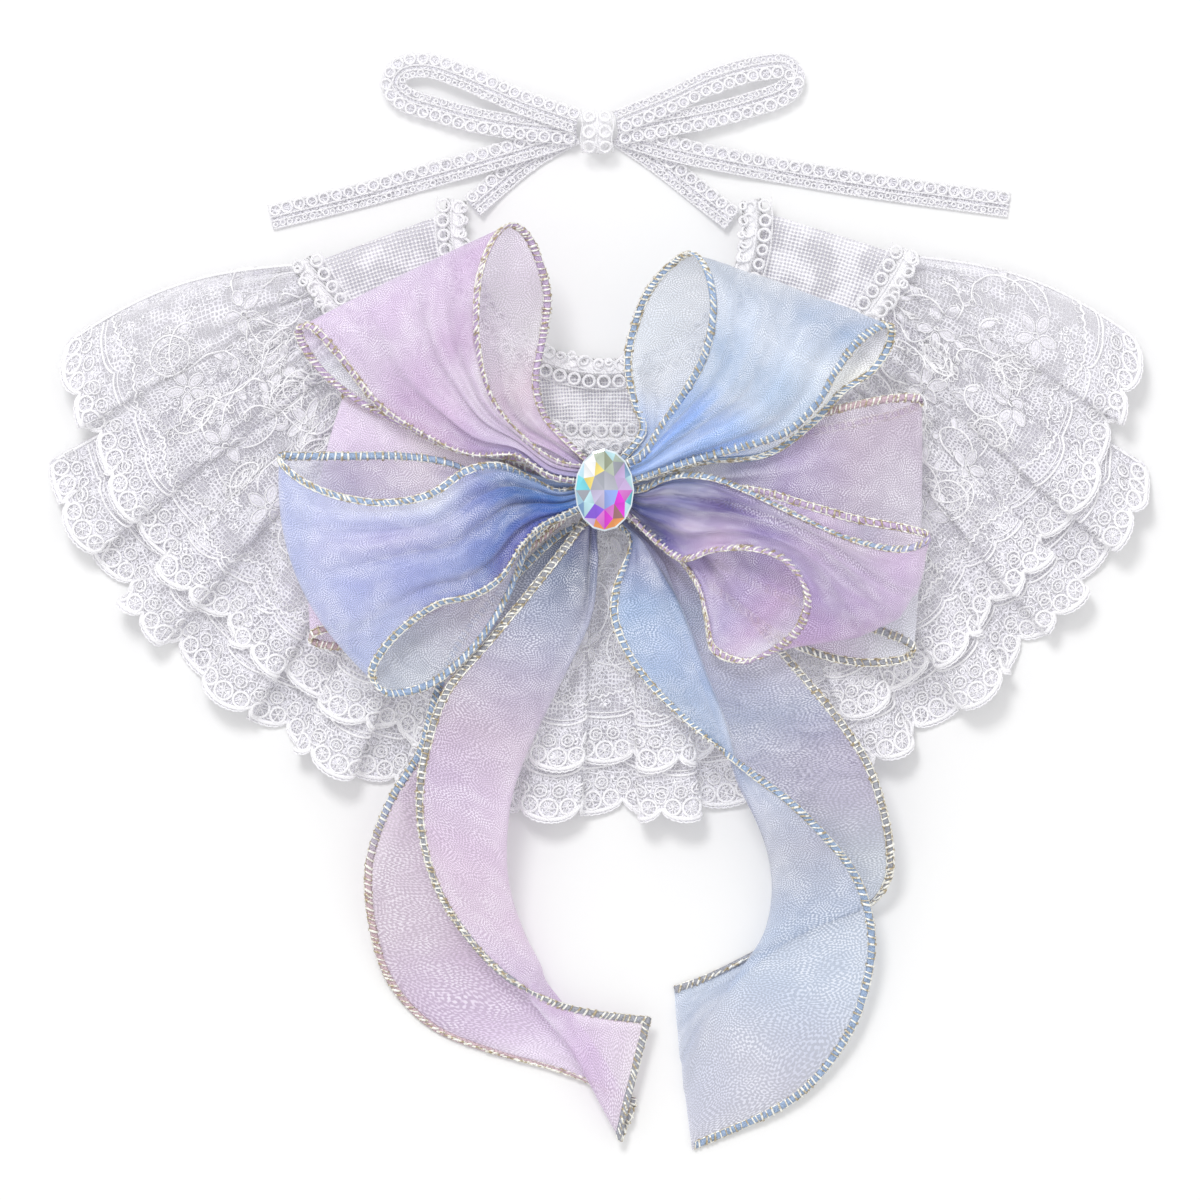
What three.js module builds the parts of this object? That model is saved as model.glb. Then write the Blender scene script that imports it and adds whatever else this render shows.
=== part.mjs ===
// A lace bow collar for a small pet or a doll, lying flat, face up. Millimetres, +Z up.
// The origin is on the surface that the collar lies on, under the middle of its outline.
// X runs to the right and Y towards the neck ties, as seen from above.
import * as THREE from "three";

// Driving dimensions
const CLOTH = 1; // wall of every ribbon and lace sheet
const GAP = 0.35; // clearance between pieces that touch
const NECK = { x: 1.3, y: 83.6, inner: 29.9, outer: 37.2, from: -8, to: 188 };
const SEAM = { x: 1.3, y: 109.3, radius: 73.9, braidHalf: 3.8, from: 26.5, to: 151.8 };
const FAN = { x: 0.4, y: 79.4, reach: 130.4, bottomDip: 3.4, foldReach: 2.5, sideReach: 3 };
const GEM = { x: 1.4, y: 24.2, width: 13, length: 18, girdle: 0.9, crown: 3.6, sides: 16 };
const POST = { halfX: 3.2, halfY: 4.2, bottom: 5.8, top: 19, sides: 12 };
const TAPE = { width: 5.8, thick: 1 };
const YOKE = { thick: 1.2, neckZ: 1.6, seamZ: 4.5 };
const TIE_KNOT = { x: -0.2, y: 103, width: 7.2, length: 10.2, height: 7 };

const COLOURS = {
  lace: 0xf6f5fa,
  weave: 0xf2f1f6,
  braid: 0xfafafc,
  purple: 0xc9b5e2,
  blue: 0xb6cbee,
  periwinkle: 0xaab9ea,
  violet: 0xb29bdd,
  lilac: 0xd3c3e4,
  crystal: 0xd8dcf0,
};

// Reads rows of numbers as rows with the named columns.
function table(columns, rows) {
  const names = columns.split(" ");
  return rows.map((row) => Object.fromEntries(names.map((name, i) => [name, row[i]])));
}

// The folds of both lace tiers: middle and half width in degrees round the fan, and height in mm.
const FOLDS = table("at half high", [
  [17, 7, 6.4],
  [28, 6, 7.6],
  [38.5, 5.5, 6.6],
  [49.5, 6, 8],
  [61, 6, 6.6],
  [72, 5.5, 7.4],
  [83, 6, 8],
  [95, 6.5, 6.4],
  [107, 6, 7.6],
  [118, 5.5, 7.8],
  [129, 6, 6.6],
  [140, 5.5, 8],
  [151, 6, 6.8],
  [162.5, 6.5, 6.4],
]);

// The two lace tiers: their span in degrees round the fan, how far out they end, their lift, and how far
// the side edges belly out, over a share of the tier next to each edge.
const TIERS = {
  lower_ruffle: { from: 22.5, to: 158, ends: 1, endsAtSides: 1, lift: 0, belly: 0, steps: 60 },
  upper_ruffle: { from: 11.5, to: 168.3, ends: 0.865, endsAtSides: 0.83, lift: 2.2, belly: 4.6, steps: 68 },
};
const BELLY_SHARE = 0.07;

// Ribbon loops. Each row is a section across the ribbon, from the knot over the far fold and back.
// a and b are its two wired edges; out bows its middle away from the knot, rise lifts it.
const LOOP_COLUMNS = "ax ay az bx by bz out rise";
const LOOPS = {
  bow_loop_upper_left: {
    colour: "purple",
    rows: [
      [-0.1, 29.3, 17.8, -3.7, 25.7, 17.8, 0, 0],
      [-9.2, 31, 18.9, -11, 27, 18.7, 0, 0],
      [-17.2, 37, 21.2, -17.8, 31.6, 19.6, 0, 0.4],
      [-22.9, 44.4, 24.5, -28.2, 32, 20.2, 0, 1.2],
      [-25.5, 54.1, 28, -38.1, 36.2, 21.2, 0, 2.4],
      [-26, 62.9, 30.5, -48, 42.5, 22.4, 0, 3],
      [-24.9, 72.2, 31.5, -56.3, 52.6, 23, 0, 2.6],
      [-21.8, 79.4, 30, -62.5, 59.2, 23, 0, 1.2],
      [-18.3, 82.1, 26.5, -65.8, 59.2, 21.4, 0.6, 0],
      [-14.1, 78.8, 22, -64.9, 55.4, 19.6, 0, -0.6],
      [-10.6, 68.4, 18, -60.1, 49.1, 18.6, 0, -1],
      [-11.2, 59.2, 16.3, -52.6, 43.3, 18, 0, -0.6],
      [-13, 48.6, 15.6, -43.6, 38.7, 17.6, 0, 0],
      [-11.2, 40.7, 15.3, -31.5, 32.9, 17.1, 0, 0],
      [-6.2, 34.8, 15.6, -16.1, 30.4, 16.5, 0, 0],
      [0.2, 29, 16.2, -3.5, 25.5, 16.2, 0, 0],
    ],
  },
  bow_loop_upper_right: {
    colour: "blue",
    rows: [
      [2.9, 29.3, 17.8, 6.5, 25.7, 17.8, 0, 0],
      [9.2, 32.3, 18.9, 11.9, 27.4, 18.7, 0, 0],
      [13.2, 38.1, 21.2, 20.2, 30, 19.8, 0, 0.4],
      [17.6, 44.7, 24.5, 31.2, 33, 20.8, 0, 1.2],
      [21.8, 51.9, 28, 41.4, 36.3, 22, 0, 2.4],
      [24, 59.2, 30.5, 48.4, 42.9, 23, 0, 3],
      [24.4, 66.2, 31.5, 52.8, 50.4, 23.6, 0, 2.6],
      [22.9, 72.4, 30, 58.1, 57, 23.6, 0, 1.2],
      [19.8, 75.9, 26.5, 64, 60.1, 22, 0.6, 0],
      [15.4, 73.7, 22, 64.2, 55.7, 20, 0, -0.6],
      [10.3, 67.8, 18, 60.3, 49.9, 19, 0, -1],
      [7, 59.2, 16.3, 53.9, 45.5, 18.4, 0, -0.6],
      [5.9, 51.7, 15.6, 47.1, 38.3, 17.8, 0, 0],
      [7.5, 43.3, 15.3, 37, 31.6, 17.4, 0, 0],
      [9.2, 37.2, 15.6, 22.4, 29.9, 16.9, 0, 0],
      [2.7, 29.1, 16.2, 6.3, 25.5, 16.2, 0, 0],
    ],
  },
  bow_loop_lower_left: {
    colour: "periwinkle",
    rows: [
      [-3.7, 25.1, 14.8, -2.3, 20.5, 14.8, 0, 0],
      [-9.2, 24.6, 15.2, -7, 18.3, 15.4, 0, 0.2],
      [-15.4, 27.6, 16.8, -12.8, 15.6, 17.6, 0, 1],
      [-21.6, 30.2, 19.6, -17.2, 11, 20.2, 0, 2.4],
      [-29, 29, 20.4, -21.1, 4.6, 22.4, 0, 3.4],
      [-37, 23.8, 21, -27.3, 0.7, 24, 0, 4.2],
      [-47.1, 22, 21.6, -34.8, -1.1, 25, 0, 4.6],
      [-57.9, 23.8, 22.4, -42.7, -6.8, 24.6, 1.5, 4.2],
      [-65.6, 27.5, 22.6, -47.7, -13, 23, 5, 3],
      [-69.5, 31.9, 21.4, -48.6, -17.4, 20.4, 7, 0.6],
      [-64.5, 32.3, 19.8, -44.7, -20.7, 18.2, 5, 0],
      [-54.6, 32.3, 18.9, -35.6, -18.3, 17.5, 2, 0],
      [-43.6, 32.3, 18.4, -26.4, -10.1, 17.2, 0, 0],
      [-33.7, 31, 17.6, -19.8, 0.2, 16.8, 0, 0],
      [-23.8, 27.1, 16.2, -15.4, 10.8, 16, 0, 0],
      [-12.8, 24.2, 14.2, -10.6, 16.7, 14.4, 0, 0],
      [-3.9, 24.9, 13.2, -2.5, 20.2, 13.2, 0, 0],
    ],
  },
  bow_loop_lower_right: {
    colour: "violet",
    rows: [
      [6.5, 24.9, 14.8, 4.9, 20.3, 14.8, 0, 0],
      [10.3, 25.3, 15.2, 9.2, 16.1, 15.4, 0, 0.2],
      [16.7, 27.8, 16.4, 13.6, 11.9, 17.2, 0, 1],
      [24.6, 27.5, 18, 18.5, 8.8, 20, 0, 2],
      [32.8, 24.2, 19, 25.1, 10.8, 23.4, 0, 2.4],
      [43.3, 18.9, 20, 33, 11.2, 26.4, 0, 2.6],
      [54.3, 13.9, 21.4, 40.5, 8.6, 27.4, 1, 3],
      [66.2, 11.9, 22.6, 44.9, 2, 26, 7, 3],
      [72.4, 14.5, 21.4, 43.8, -4.6, 22.4, 11, 1],
      [67.5, 16.5, 19.8, 39.2, -9.7, 19.2, 10, 0],
      [56.8, 18.5, 18.8, 31.7, -13.4, 17.6, 5, 0],
      [45.8, 21.6, 18.2, 25.1, -11.2, 17.2, 0, 0],
      [36.3, 24.4, 17.6, 23.5, -4.6, 17, 0, 0],
      [25.7, 25.5, 16.6, 21.8, 2.9, 16.4, 0, 0],
      [15.4, 24.7, 14.6, 15.4, 11.7, 14.8, 0, 0],
      [6.7, 24.5, 13.2, 5.1, 19.9, 13.2, 0, 0],
    ],
  },
  bow_loop_back_left: {
    colour: "lilac",
    rows: [
      [-3.2, 26.4, 11.8, -3.2, 21.8, 11.8, 0, 0],
      [-12.8, 28.4, 12.5, -9.5, 16.7, 12.5, 0, 0],
      [-26, 33.9, 13.9, -21.6, 7.9, 14.2, 0, 0.2],
      [-39.2, 39.6, 14.9, -37, -0.7, 15.2, 0, 0.2],
      [-48.4, 43.8, 15.3, -51.3, -5.9, 15.6, 0, 0.2],
      [-53.7, 46, 15.2, -59.8, -6.8, 15.4, 1.6, 0],
      [-55.4, 45.8, 13.9, -62.9, -8.6, 14.1, 3, 0],
      [-53.7, 44.2, 12.7, -60.7, -10.1, 12.8, 1.6, 0],
      [-48, 41.6, 12.3, -54.1, -10.1, 12.4, 0, 0],
      [-37, 37.2, 12.2, -39.2, -4.2, 12.3, 0, 0],
      [-23.8, 31.9, 11.6, -21.6, 5.7, 11.8, 0, 0],
      [-11, 26.6, 10.7, -9.5, 15.6, 10.8, 0, 0],
      [-3.4, 26.2, 10.2, -3.4, 21.6, 10.2, 0, 0],
    ],
  },
  bow_loop_back_right: {
    colour: "lilac",
    rows: [
      [6, 26.4, 11.8, 6, 21.8, 11.8, 0, 0],
      [14.1, 28.8, 12.5, 12.5, 15.6, 12.5, 0, 0],
      [29, 35, 13.9, 26.8, 7.3, 14.2, 0, 0.2],
      [42.2, 39.8, 14.8, 42.2, -0.2, 15, 0, 0.2],
      [54.3, 43.1, 15.1, 55.4, -5.1, 15.3, 0, 0.2],
      [65.3, 45.1, 15, 65.6, -8.6, 15.2, 0.3, 0],
      [70.8, 44.7, 13.9, 69.1, -11.2, 14.1, 0.8, 0],
      [67.1, 42.2, 12.7, 65.8, -13.6, 12.8, 0.3, 0],
      [57.2, 39.8, 12.3, 55.4, -13.9, 12.4, 0, 0],
      [44.4, 37.2, 12.2, 42.2, -9.7, 12.3, 0, 0],
      [31.2, 33.4, 11.6, 26.8, 1.3, 11.8, 0, 0],
      [15.8, 27.5, 10.7, 12.5, 13.9, 10.8, 0, 0],
      [6.2, 26.2, 10.2, 6.2, 21.6, 10.2, 0, 0],
    ],
  },
};

// Ribbon tails, from the knot to the cut end. a and b are the wired edges, c and d the lengthwise fold.
const TAIL_COLUMNS = "ax ay az cx cy cz dx dy dz bx by bz";
const TAILS = {
  bow_tail_left: {
    colour: "lilac",
    rows: [
      [-2.4, 19.6, 8.7, -1.2, 19, 8.6, -0.2, 18.8, 8.5, 0.7, 18.8, 8.4],
      [-6.2, 14.1, 10.4, -1, 8.6, 10.8, -1.4, 8.6, 9, -8.6, 15, 8.6],
      [-14.5, 3.5, 13.4, -1.8, -3.1, 13.6, -2.4, -3, 11.2, -18.6, 6, 11],
      [-24.6, -8.8, 15, -6.8, -14.7, 15.4, -7.4, -14.6, 12.8, -29.6, -6.6, 12.8],
      [-33.7, -19.6, 16.2, -14.3, -29.9, 16.6, -14.9, -29.8, 13.2, -35.8, -19.6, 13.2],
      [-38.3, -32.8, 16.6, -18.9, -42, 16.8, -19.5, -42, 13.2, -39.6, -32.8, 13.2],
      [-39.6, -43.8, 15.4, -20.2, -53.7, 15.4, -20.8, -53.8, 12, -46.2, -43.8, 12.8],
      [-38.3, -54.8, 12.4, -19.4, -63.6, 12, -20, -63.8, 8.4, -50.8, -57.4, 9.4],
      [-34.8, -64.7, 9.4, -16.3, -72.8, 8.8, -17, -73.2, 5, -50.2, -71.3, 5],
      [-28.6, -74.1, 7.8, -12.6, -80.6, 7, -13.2, -81.2, 3, -46.2, -83.8, 1.6],
      [-20.5, -82.3, 7, -15, -84.8, 6.2, -8.4, -88, 3.2, -37, -93.7, 0.6],
      [-11, -87.3, 6.6, -12.2, -90.8, 5.6, -3.6, -94, 3.2, -23.8, -99.2, 0.6],
      [-0.7, -90, 6, -4.8, -101, 5, 1.6, -101.6, 2.8, -9.5, -103, 0.6],
      [11.7, -91.5, 5.2, 4.8, -119, 3.6, 7.6, -112.4, 2, 8.4, -109.3, 0.6],
    ],
  },
  bow_tail_right: {
    colour: "blue",
    rows: [
      [2.1, 18.8, 8.7, 3.1, 18.9, 8.6, 4.2, 19.2, 8.5, 5.3, 19.8, 8.4],
      [7, 13.4, 11, 10.3, 12.3, 11.4, 11.6, 10.4, 9.4, 15.4, 12.3, 9],
      [3.3, 2.4, 12.8, 16.7, 2.4, 15.2, 15.4, 1, 12.2, 29, 2.4, 9.8],
      [3.5, -5.9, 13.6, 20.2, -5.7, 16, 18.9, -7.6, 12.7, 36.7, -6.4, 10.5],
      [9.2, -16.3, 14.4, 24, -16.1, 16.6, 22.9, -18, 13.2, 44, -14.7, 11.6],
      [20.2, -27.3, 15.6, 28.4, -27.1, 17.4, 27.3, -29.4, 13.4, 51.5, -23.5, 13],
      [31.2, -35.2, 17.6, 31, -38, 17, 31.2, -39.4, 13.6, 59, -34.3, 13],
      [42.2, -43.3, 17.4, 34.8, -46.8, 16, 35.2, -47.4, 13.2, 62.9, -44.9, 12.6],
      [50.6, -51.7, 15, 37.6, -55.2, 12.8, 38.1, -55.6, 9.6, 64.7, -54.8, 9.8],
      [56.5, -59.2, 12.2, 38.4, -63.8, 9.2, 39, -64.2, 5.8, 64, -61.8, 6.8],
      [60.1, -69.1, 9.6, 36.8, -72.4, 6.6, 37.6, -72.8, 3, 59.4, -67.1, 4],
      [60.3, -80.3, 7, 32.6, -79.4, 5.4, 33.6, -79.4, 2, 49.3, -70.6, 1.6],
      [55.4, -95.5, 4.6, 27.3, -87.4, 4.4, 28.2, -86.2, 1.6, 36.7, -76.3, 0.6],
      [43.1, -110, 2.4, 23.6, -94.4, 3.2, 22.6, -90, 1.8, 25.7, -81.6, 0.6],
      [20.7, -120.8, 0.6, 18.9, -107, 1.6, 17.6, -96, 1.4, 16.7, -84.9, 0.6],
    ],
  },
};

// Ring-braid tapes of the ties, as the middle line of each: x, y and the height of the middle.
const TAPES = {
  tie_strap_left: [[-5, 103, 0.5], [-14, 98, 0.5], [-22, 91.6, 0.55], [-26.8, 87.4, 2.4]],
  tie_strap_right: [[4.4, 102.6, 0.5], [13.5, 96.4, 0.5], [22.6, 89.2, 0.55], [28.8, 84.4, 2.4]],
  tie_tail_left: [[-4.8, 102.9, 2], [-17.4, 99, 2], [-28, 95.9, 1.8], [-40, 92.5, 0.5], [-51, 89.4, 0.5], [-72, 84.2, 0.5]],
  tie_tail_right: [[4.4, 102.8, 2], [16.6, 99.2, 2], [28, 96.8, 1.8], [42, 94.2, 0.5], [60, 91.2, 0.5], [90.4, 87, 0.5]],
  tie_loop_left: [
    [-4.6, 105.2, 5], [-17.6, 109.8, 4.6], [-30, 115.2, 4], [-38, 117.6, 3.6], [-43.4, 116.6, 3.2],
    [-45, 113.6, 2.8], [-42.6, 110.6, 2.6], [-36, 108.3, 2.8], [-26, 105.6, 3.2], [-15.6, 104, 3.5], [-4.8, 103, 3.7],
  ],
  tie_loop_right: [
    [4.2, 105.2, 5], [16, 110, 4.6], [26, 114.6, 4], [36, 117.3, 3.6], [41.4, 117.4, 3.2],
    [43.2, 114.7, 2.8], [41, 112, 2.6], [33.6, 109.2, 2.8], [24, 106.6, 3.2], [13, 104.6, 3.5], [4.4, 103, 3.7],
  ],
};

const degrees = (angle) => (angle * Math.PI) / 180;
const mix = (from, to, share) => from + (to - from) * share;
// 0 below 0, 1 above 1 and a soft step between.
const smooth = (t) => THREE.MathUtils.smoothstep(t, 0, 1);
const vector = (x, y, z) => new THREE.Vector3(x, y, z);
// A point at an angle below the line to the right, as a clock hand that starts at three.
const polar = (centre, radius, angle, z) =>
  vector(centre.x + radius * Math.cos(degrees(angle)), centre.y - radius * Math.sin(degrees(angle)), z);

// A mesh from vertices and triangles.
function solidMesh(name, points, triangles, colour, roughness = 0.85) {
  const geometry = new THREE.BufferGeometry().setFromPoints(points).setIndex(triangles);
  geometry.computeVertexNormals();
  const material = new THREE.MeshStandardMaterial({ color: COLOURS[colour], roughness, metalness: 0 });
  const mesh = new THREE.Mesh(geometry, material);
  mesh.name = name;
  return mesh;
}

// A closed wall round a grid of points: rows along the sheet, columns across it.
function wall(name, rows, thick, colour) {
  const n = rows.length;
  const m = rows[0].length;
  const along = (i, j) => rows[Math.min(i + 1, n - 1)][j].clone().sub(rows[Math.max(i - 1, 0)][j]);
  const across = (i, j) => rows[i][Math.min(j + 1, m - 1)].clone().sub(rows[i][Math.max(j - 1, 0)]);
  const points = [];
  for (const side of [0.5, -0.5]) {
    rows.forEach((row, i) =>
      row.forEach((point, j) => {
        const normal = along(i, j).cross(across(i, j)).normalize();
        points.push(point.clone().addScaledVector(normal, side * thick));
      }),
    );
  }
  const top = (i, j) => i * m + j;
  const under = (i, j) => n * m + i * m + j;
  const triangles = [];
  const quad = (p, q, r, s) => triangles.push(p, q, r, p, r, s);
  for (let i = 0; i < n - 1; i++) {
    for (let j = 0; j < m - 1; j++) {
      quad(top(i, j), top(i + 1, j), top(i + 1, j + 1), top(i, j + 1));
      quad(under(i, j), under(i, j + 1), under(i + 1, j + 1), under(i + 1, j));
    }
    quad(top(i, 0), under(i, 0), under(i + 1, 0), top(i + 1, 0));
    quad(top(i, m - 1), top(i + 1, m - 1), under(i + 1, m - 1), under(i, m - 1));
  }
  for (let j = 0; j < m - 1; j++) {
    quad(top(0, j), top(0, j + 1), under(0, j + 1), under(0, j));
    quad(top(n - 1, j), under(n - 1, j), under(n - 1, j + 1), top(n - 1, j + 1));
  }
  return solidMesh(name, points, triangles, colour);
}

// A closed bar: one closed section, a list of points, for each station along it.
function bar(name, sections, colour, roughness) {
  const n = sections.length;
  const m = sections[0].length;
  const points = sections.flat();
  const triangles = [];
  for (let i = 0; i < n - 1; i++) {
    for (let j = 0; j < m; j++) {
      const k = (j + 1) % m;
      triangles.push(i * m + j, i * m + k, (i + 1) * m + k, i * m + j, (i + 1) * m + k, (i + 1) * m + j);
    }
  }
  for (let j = 1; j < m - 1; j++) {
    triangles.push(0, j + 1, j);
    triangles.push((n - 1) * m, (n - 1) * m + j, (n - 1) * m + j + 1);
  }
  return solidMesh(name, points, triangles, colour, roughness);
}

// A smooth line through one named point of every row, read at a share of the way along the rows.
function lineThrough(rows, key) {
  const points = rows.map((row) => vector(row[key + "x"], row[key + "y"], row[key + "z"]));
  return new THREE.CatmullRomCurve3(points, false, "catmullrom", 0.5);
}

// A loop: its two edge lines, with the straight sections between them bowed out and lifted.
function bowLoop(name, { rows, colour }, steps = 25, columns = 5) {
  const sections = table(LOOP_COLUMNS, rows);
  const edgeA = lineThrough(sections, "a");
  const edgeB = lineThrough(sections, "b");
  const bows = new THREE.CatmullRomCurve3(sections.map((row) => vector(row.out, row.rise, 0)), false, "catmullrom", 0.5);
  const grid = [];
  for (let i = 0; i <= steps; i++) {
    const [a, b, bow] = [edgeA, edgeB, bows].map((line) => line.getPoint(i / steps));
    const chord = b.clone().sub(a).setZ(0).normalize();
    const away = vector(chord.y, -chord.x, 0);
    const middle = a.clone().add(b).multiplyScalar(0.5).sub(vector(GEM.x, GEM.y, 0)).setZ(0);
    if (away.dot(middle) < 0) away.negate();
    const row = [];
    for (let j = 0; j <= columns; j++) {
      const t = j / columns;
      const swell = 4 * t * (1 - t);
      row.push(a.clone().lerp(b, t).addScaledVector(away, bow.x * swell).add(vector(0, 0, bow.y * swell)));
    }
    grid.push(row);
  }
  return wall(name, grid, CLOTH, colour);
}

// A tail: smooth sections through its two edges and its lengthwise fold.
function bowTail(name, { rows, colour }, steps = 23, columns = 8) {
  const sections = table(TAIL_COLUMNS, rows);
  const lines = ["a", "c", "d", "b"].map((key) => lineThrough(sections, key));
  const grid = [];
  for (let i = 0; i <= steps; i++) {
    const across = new THREE.CatmullRomCurve3(lines.map((line) => line.getPoint(i / steps)), false, "centripetal");
    grid.push(Array.from({ length: columns + 1 }, (_, j) => across.getPoint(j / columns)));
  }
  return wall(name, grid, CLOTH, colour);
}

// How high the folds stand at an angle round the fan: round bumps side by side.
function foldHeight(angle) {
  return FOLDS.reduce((sum, fold) => {
    const away = Math.abs(angle - fold.at) / fold.half;
    return away < 1 ? sum + fold.high * (0.5 + 0.5 * Math.cos(Math.PI * away)) : sum;
  }, 0);
}

// A lace tier, gathered along the seam and standing in folds at its free edge.
function ruffle(name, tier, columns = 4) {
  const rows = [];
  for (let i = 0; i <= tier.steps; i++) {
    const angle = mix(tier.from, tier.to, i / tier.steps);
    const seamAngle = mix(SEAM.from, SEAM.to, (angle - 11.5) / 156.8);
    const high = foldHeight(angle);
    const dip = FAN.bottomDip * Math.exp(-(((angle - 90) / 16) ** 2));
    const sides = Math.min(1, Math.abs(angle - 90) / 70) ** 4;
    const reach = FAN.reach - dip + FAN.sideReach * sides + FAN.foldReach * (high / 8 - 0.5);
    const inner = polar(SEAM, SEAM.radius + 0.6, seamAngle, 0);
    const outer = polar(FAN, reach, angle, 0);
    const onward = outer.clone().sub(inner).cross(vector(0, 0, 1)).normalize();
    const nearEnds = smooth(1 - (1 - i / tier.steps) / BELLY_SHARE) - smooth(1 - i / tier.steps / BELLY_SHARE);
    const row = [];
    for (let j = 0; j <= columns; j++) {
      const out = (j / columns) * mix(tier.ends, tier.endsAtSides, sides);
      const point = inner.clone().lerp(outer, out);
      point.addScaledVector(onward, tier.belly * nearEnds * Math.sin((Math.PI * j) / columns));
      point.z = mix(2.6, 0.6, Math.min(1, out)) + high * out ** 1.3 + tier.lift;
      row.push(point);
    }
    rows.push(row);
  }
  return wall(name, rows, CLOTH, "lace");
}

// The crescent of woven fabric between the neckline and the seam.
function yoke(steps = 34, columns = 3) {
  const rows = [];
  for (let i = 0; i <= steps; i++) {
    const inner = polar(NECK, NECK.inner + 1, mix(NECK.from + 2, NECK.to - 2, i / steps), YOKE.neckZ);
    const outer = polar(SEAM, SEAM.radius - GAP, mix(SEAM.from + 0.5, SEAM.to - 0.5, i / steps), YOKE.seamZ);
    rows.push(Array.from({ length: columns + 1 }, (_, j) => inner.clone().lerp(outer, j / columns)));
  }
  return wall("yoke", rows, YOKE.thick, "weave");
}

// A braid that follows an arc: its section is a low ridge, given as distance from the arc and height.
function arcBraid(name, centre, radius, from, to, section, steps) {
  const sections = [];
  for (let i = 0; i <= steps; i++) {
    const angle = mix(from, to, i / steps);
    sections.push(section.map(([off, z]) => polar(centre, radius + off, angle, z)).reverse());
  }
  return bar(name, sections, "braid");
}

function neckTrim() {
  const half = (NECK.outer - NECK.inner) / 2;
  const rise = ((YOKE.seamZ - YOKE.neckZ) * half) / 40;
  const low = YOKE.neckZ + YOKE.thick / 2 + GAP + rise;
  const section = [[-half, low], [-half, low + 1.4], [-0.6, low + 2], [0.6, low + 1.6], [half, low + 2], [half, low + 0.9]];
  return arcBraid("neck_trim", NECK, (NECK.inner + NECK.outer) / 2, NECK.from, NECK.to, section, 32);
}

function seamBraid() {
  const half = SEAM.braidHalf;
  const low = 5.45 + GAP;
  const section = [[-half, low], [-half, low + 1.6], [-1, low + 2.3], [1, low + 2.3], [half, low + 1.6], [half, low]];
  return arcBraid("seam_braid", SEAM, SEAM.radius, SEAM.from - 0.7, SEAM.to + 0.7, section, 34);
}

// A flat tape along a middle line, kept level across.
function tape(name, route, steps = 16) {
  const line = new THREE.CatmullRomCurve3(route.map(([x, y, z]) => vector(x, y, z)), false, "centripetal");
  const rows = [];
  for (let i = 0; i <= steps; i++) {
    const point = line.getPoint(i / steps);
    point.z = Math.max(point.z, TAPE.thick / 2);
    const along = line.getTangent(i / steps).setZ(0).normalize();
    const side = vector(-along.y, along.x, 0).multiplyScalar(TAPE.width / 2);
    rows.push([point.clone().add(side), point.clone().sub(side)]);
  }
  return wall(name, rows, TAPE.thick, "braid");
}

// A pillow-like lump with a flat underside: the tie knot.
function tieKnot(sides = 12) {
  const rings = [[0.8, 0], [1, 0.3], [1, 0.7], [0.72, 1]];
  const sections = rings.map(([wide, high]) =>
    Array.from({ length: sides }, (_, k) => {
      const angle = (2 * Math.PI * k) / sides;
      const x = TIE_KNOT.x + (TIE_KNOT.width / 2) * wide * Math.cos(angle);
      return vector(x, TIE_KNOT.y + (TIE_KNOT.length / 2) * wide * Math.sin(angle), TIE_KNOT.height * high);
    }),
  );
  return bar("tie_knot", sections, "braid");
}

// The bound middle of the bow, which the loops and tails gather against.
function bowKnot() {
  const rings = [[1, POST.bottom], [0.9, mix(POST.bottom, POST.top, 0.5)], [1, POST.top]];
  const sections = rings.map(([wide, z]) =>
    Array.from({ length: POST.sides }, (_, k) => {
      const angle = (2 * Math.PI * k) / POST.sides;
      return vector(GEM.x + POST.halfX * wide * Math.cos(angle), GEM.y + POST.halfY * wide * Math.sin(angle), z);
    }),
  );
  return bar("bow_knot", sections, "periwinkle");
}

// The oval crystal: flat back, girdle, a crown of kite and corner facets, and a table.
function gemStone() {
  const base = POST.top + GAP;
  const ring = (share, z, turn) =>
    Array.from({ length: GEM.sides }, (_, k) => {
      const angle = (2 * Math.PI * (k + turn)) / GEM.sides;
      return vector(
        GEM.x + (GEM.width / 2) * share * Math.cos(angle),
        GEM.y + (GEM.length / 2) * share * Math.sin(angle),
        z,
      );
    });
  const sections = [
    ring(0.94, base, 0),
    ring(1, base + 0.4, 0),
    ring(1, base + GEM.girdle, 0),
    ring(0.8, base + mix(GEM.girdle, GEM.crown, 0.6), 0.5),
    ring(0.54, base + GEM.crown, 0),
  ];
  return bar("gem_stone", sections, "crystal", 0.05);
}

const collar = new THREE.Group();
collar.add(yoke(), neckTrim(), seamBraid());
for (const [name, tier] of Object.entries(TIERS)) collar.add(ruffle(name, tier));
for (const [name, route] of Object.entries(TAPES)) collar.add(tape(name, route));
collar.add(tieKnot());
for (const [name, loop] of Object.entries(LOOPS)) collar.add(bowLoop(name, loop));
for (const [name, tail] of Object.entries(TAILS)) collar.add(bowTail(name, tail));
collar.add(bowKnot(), gemStone());

export default collar;
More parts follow.
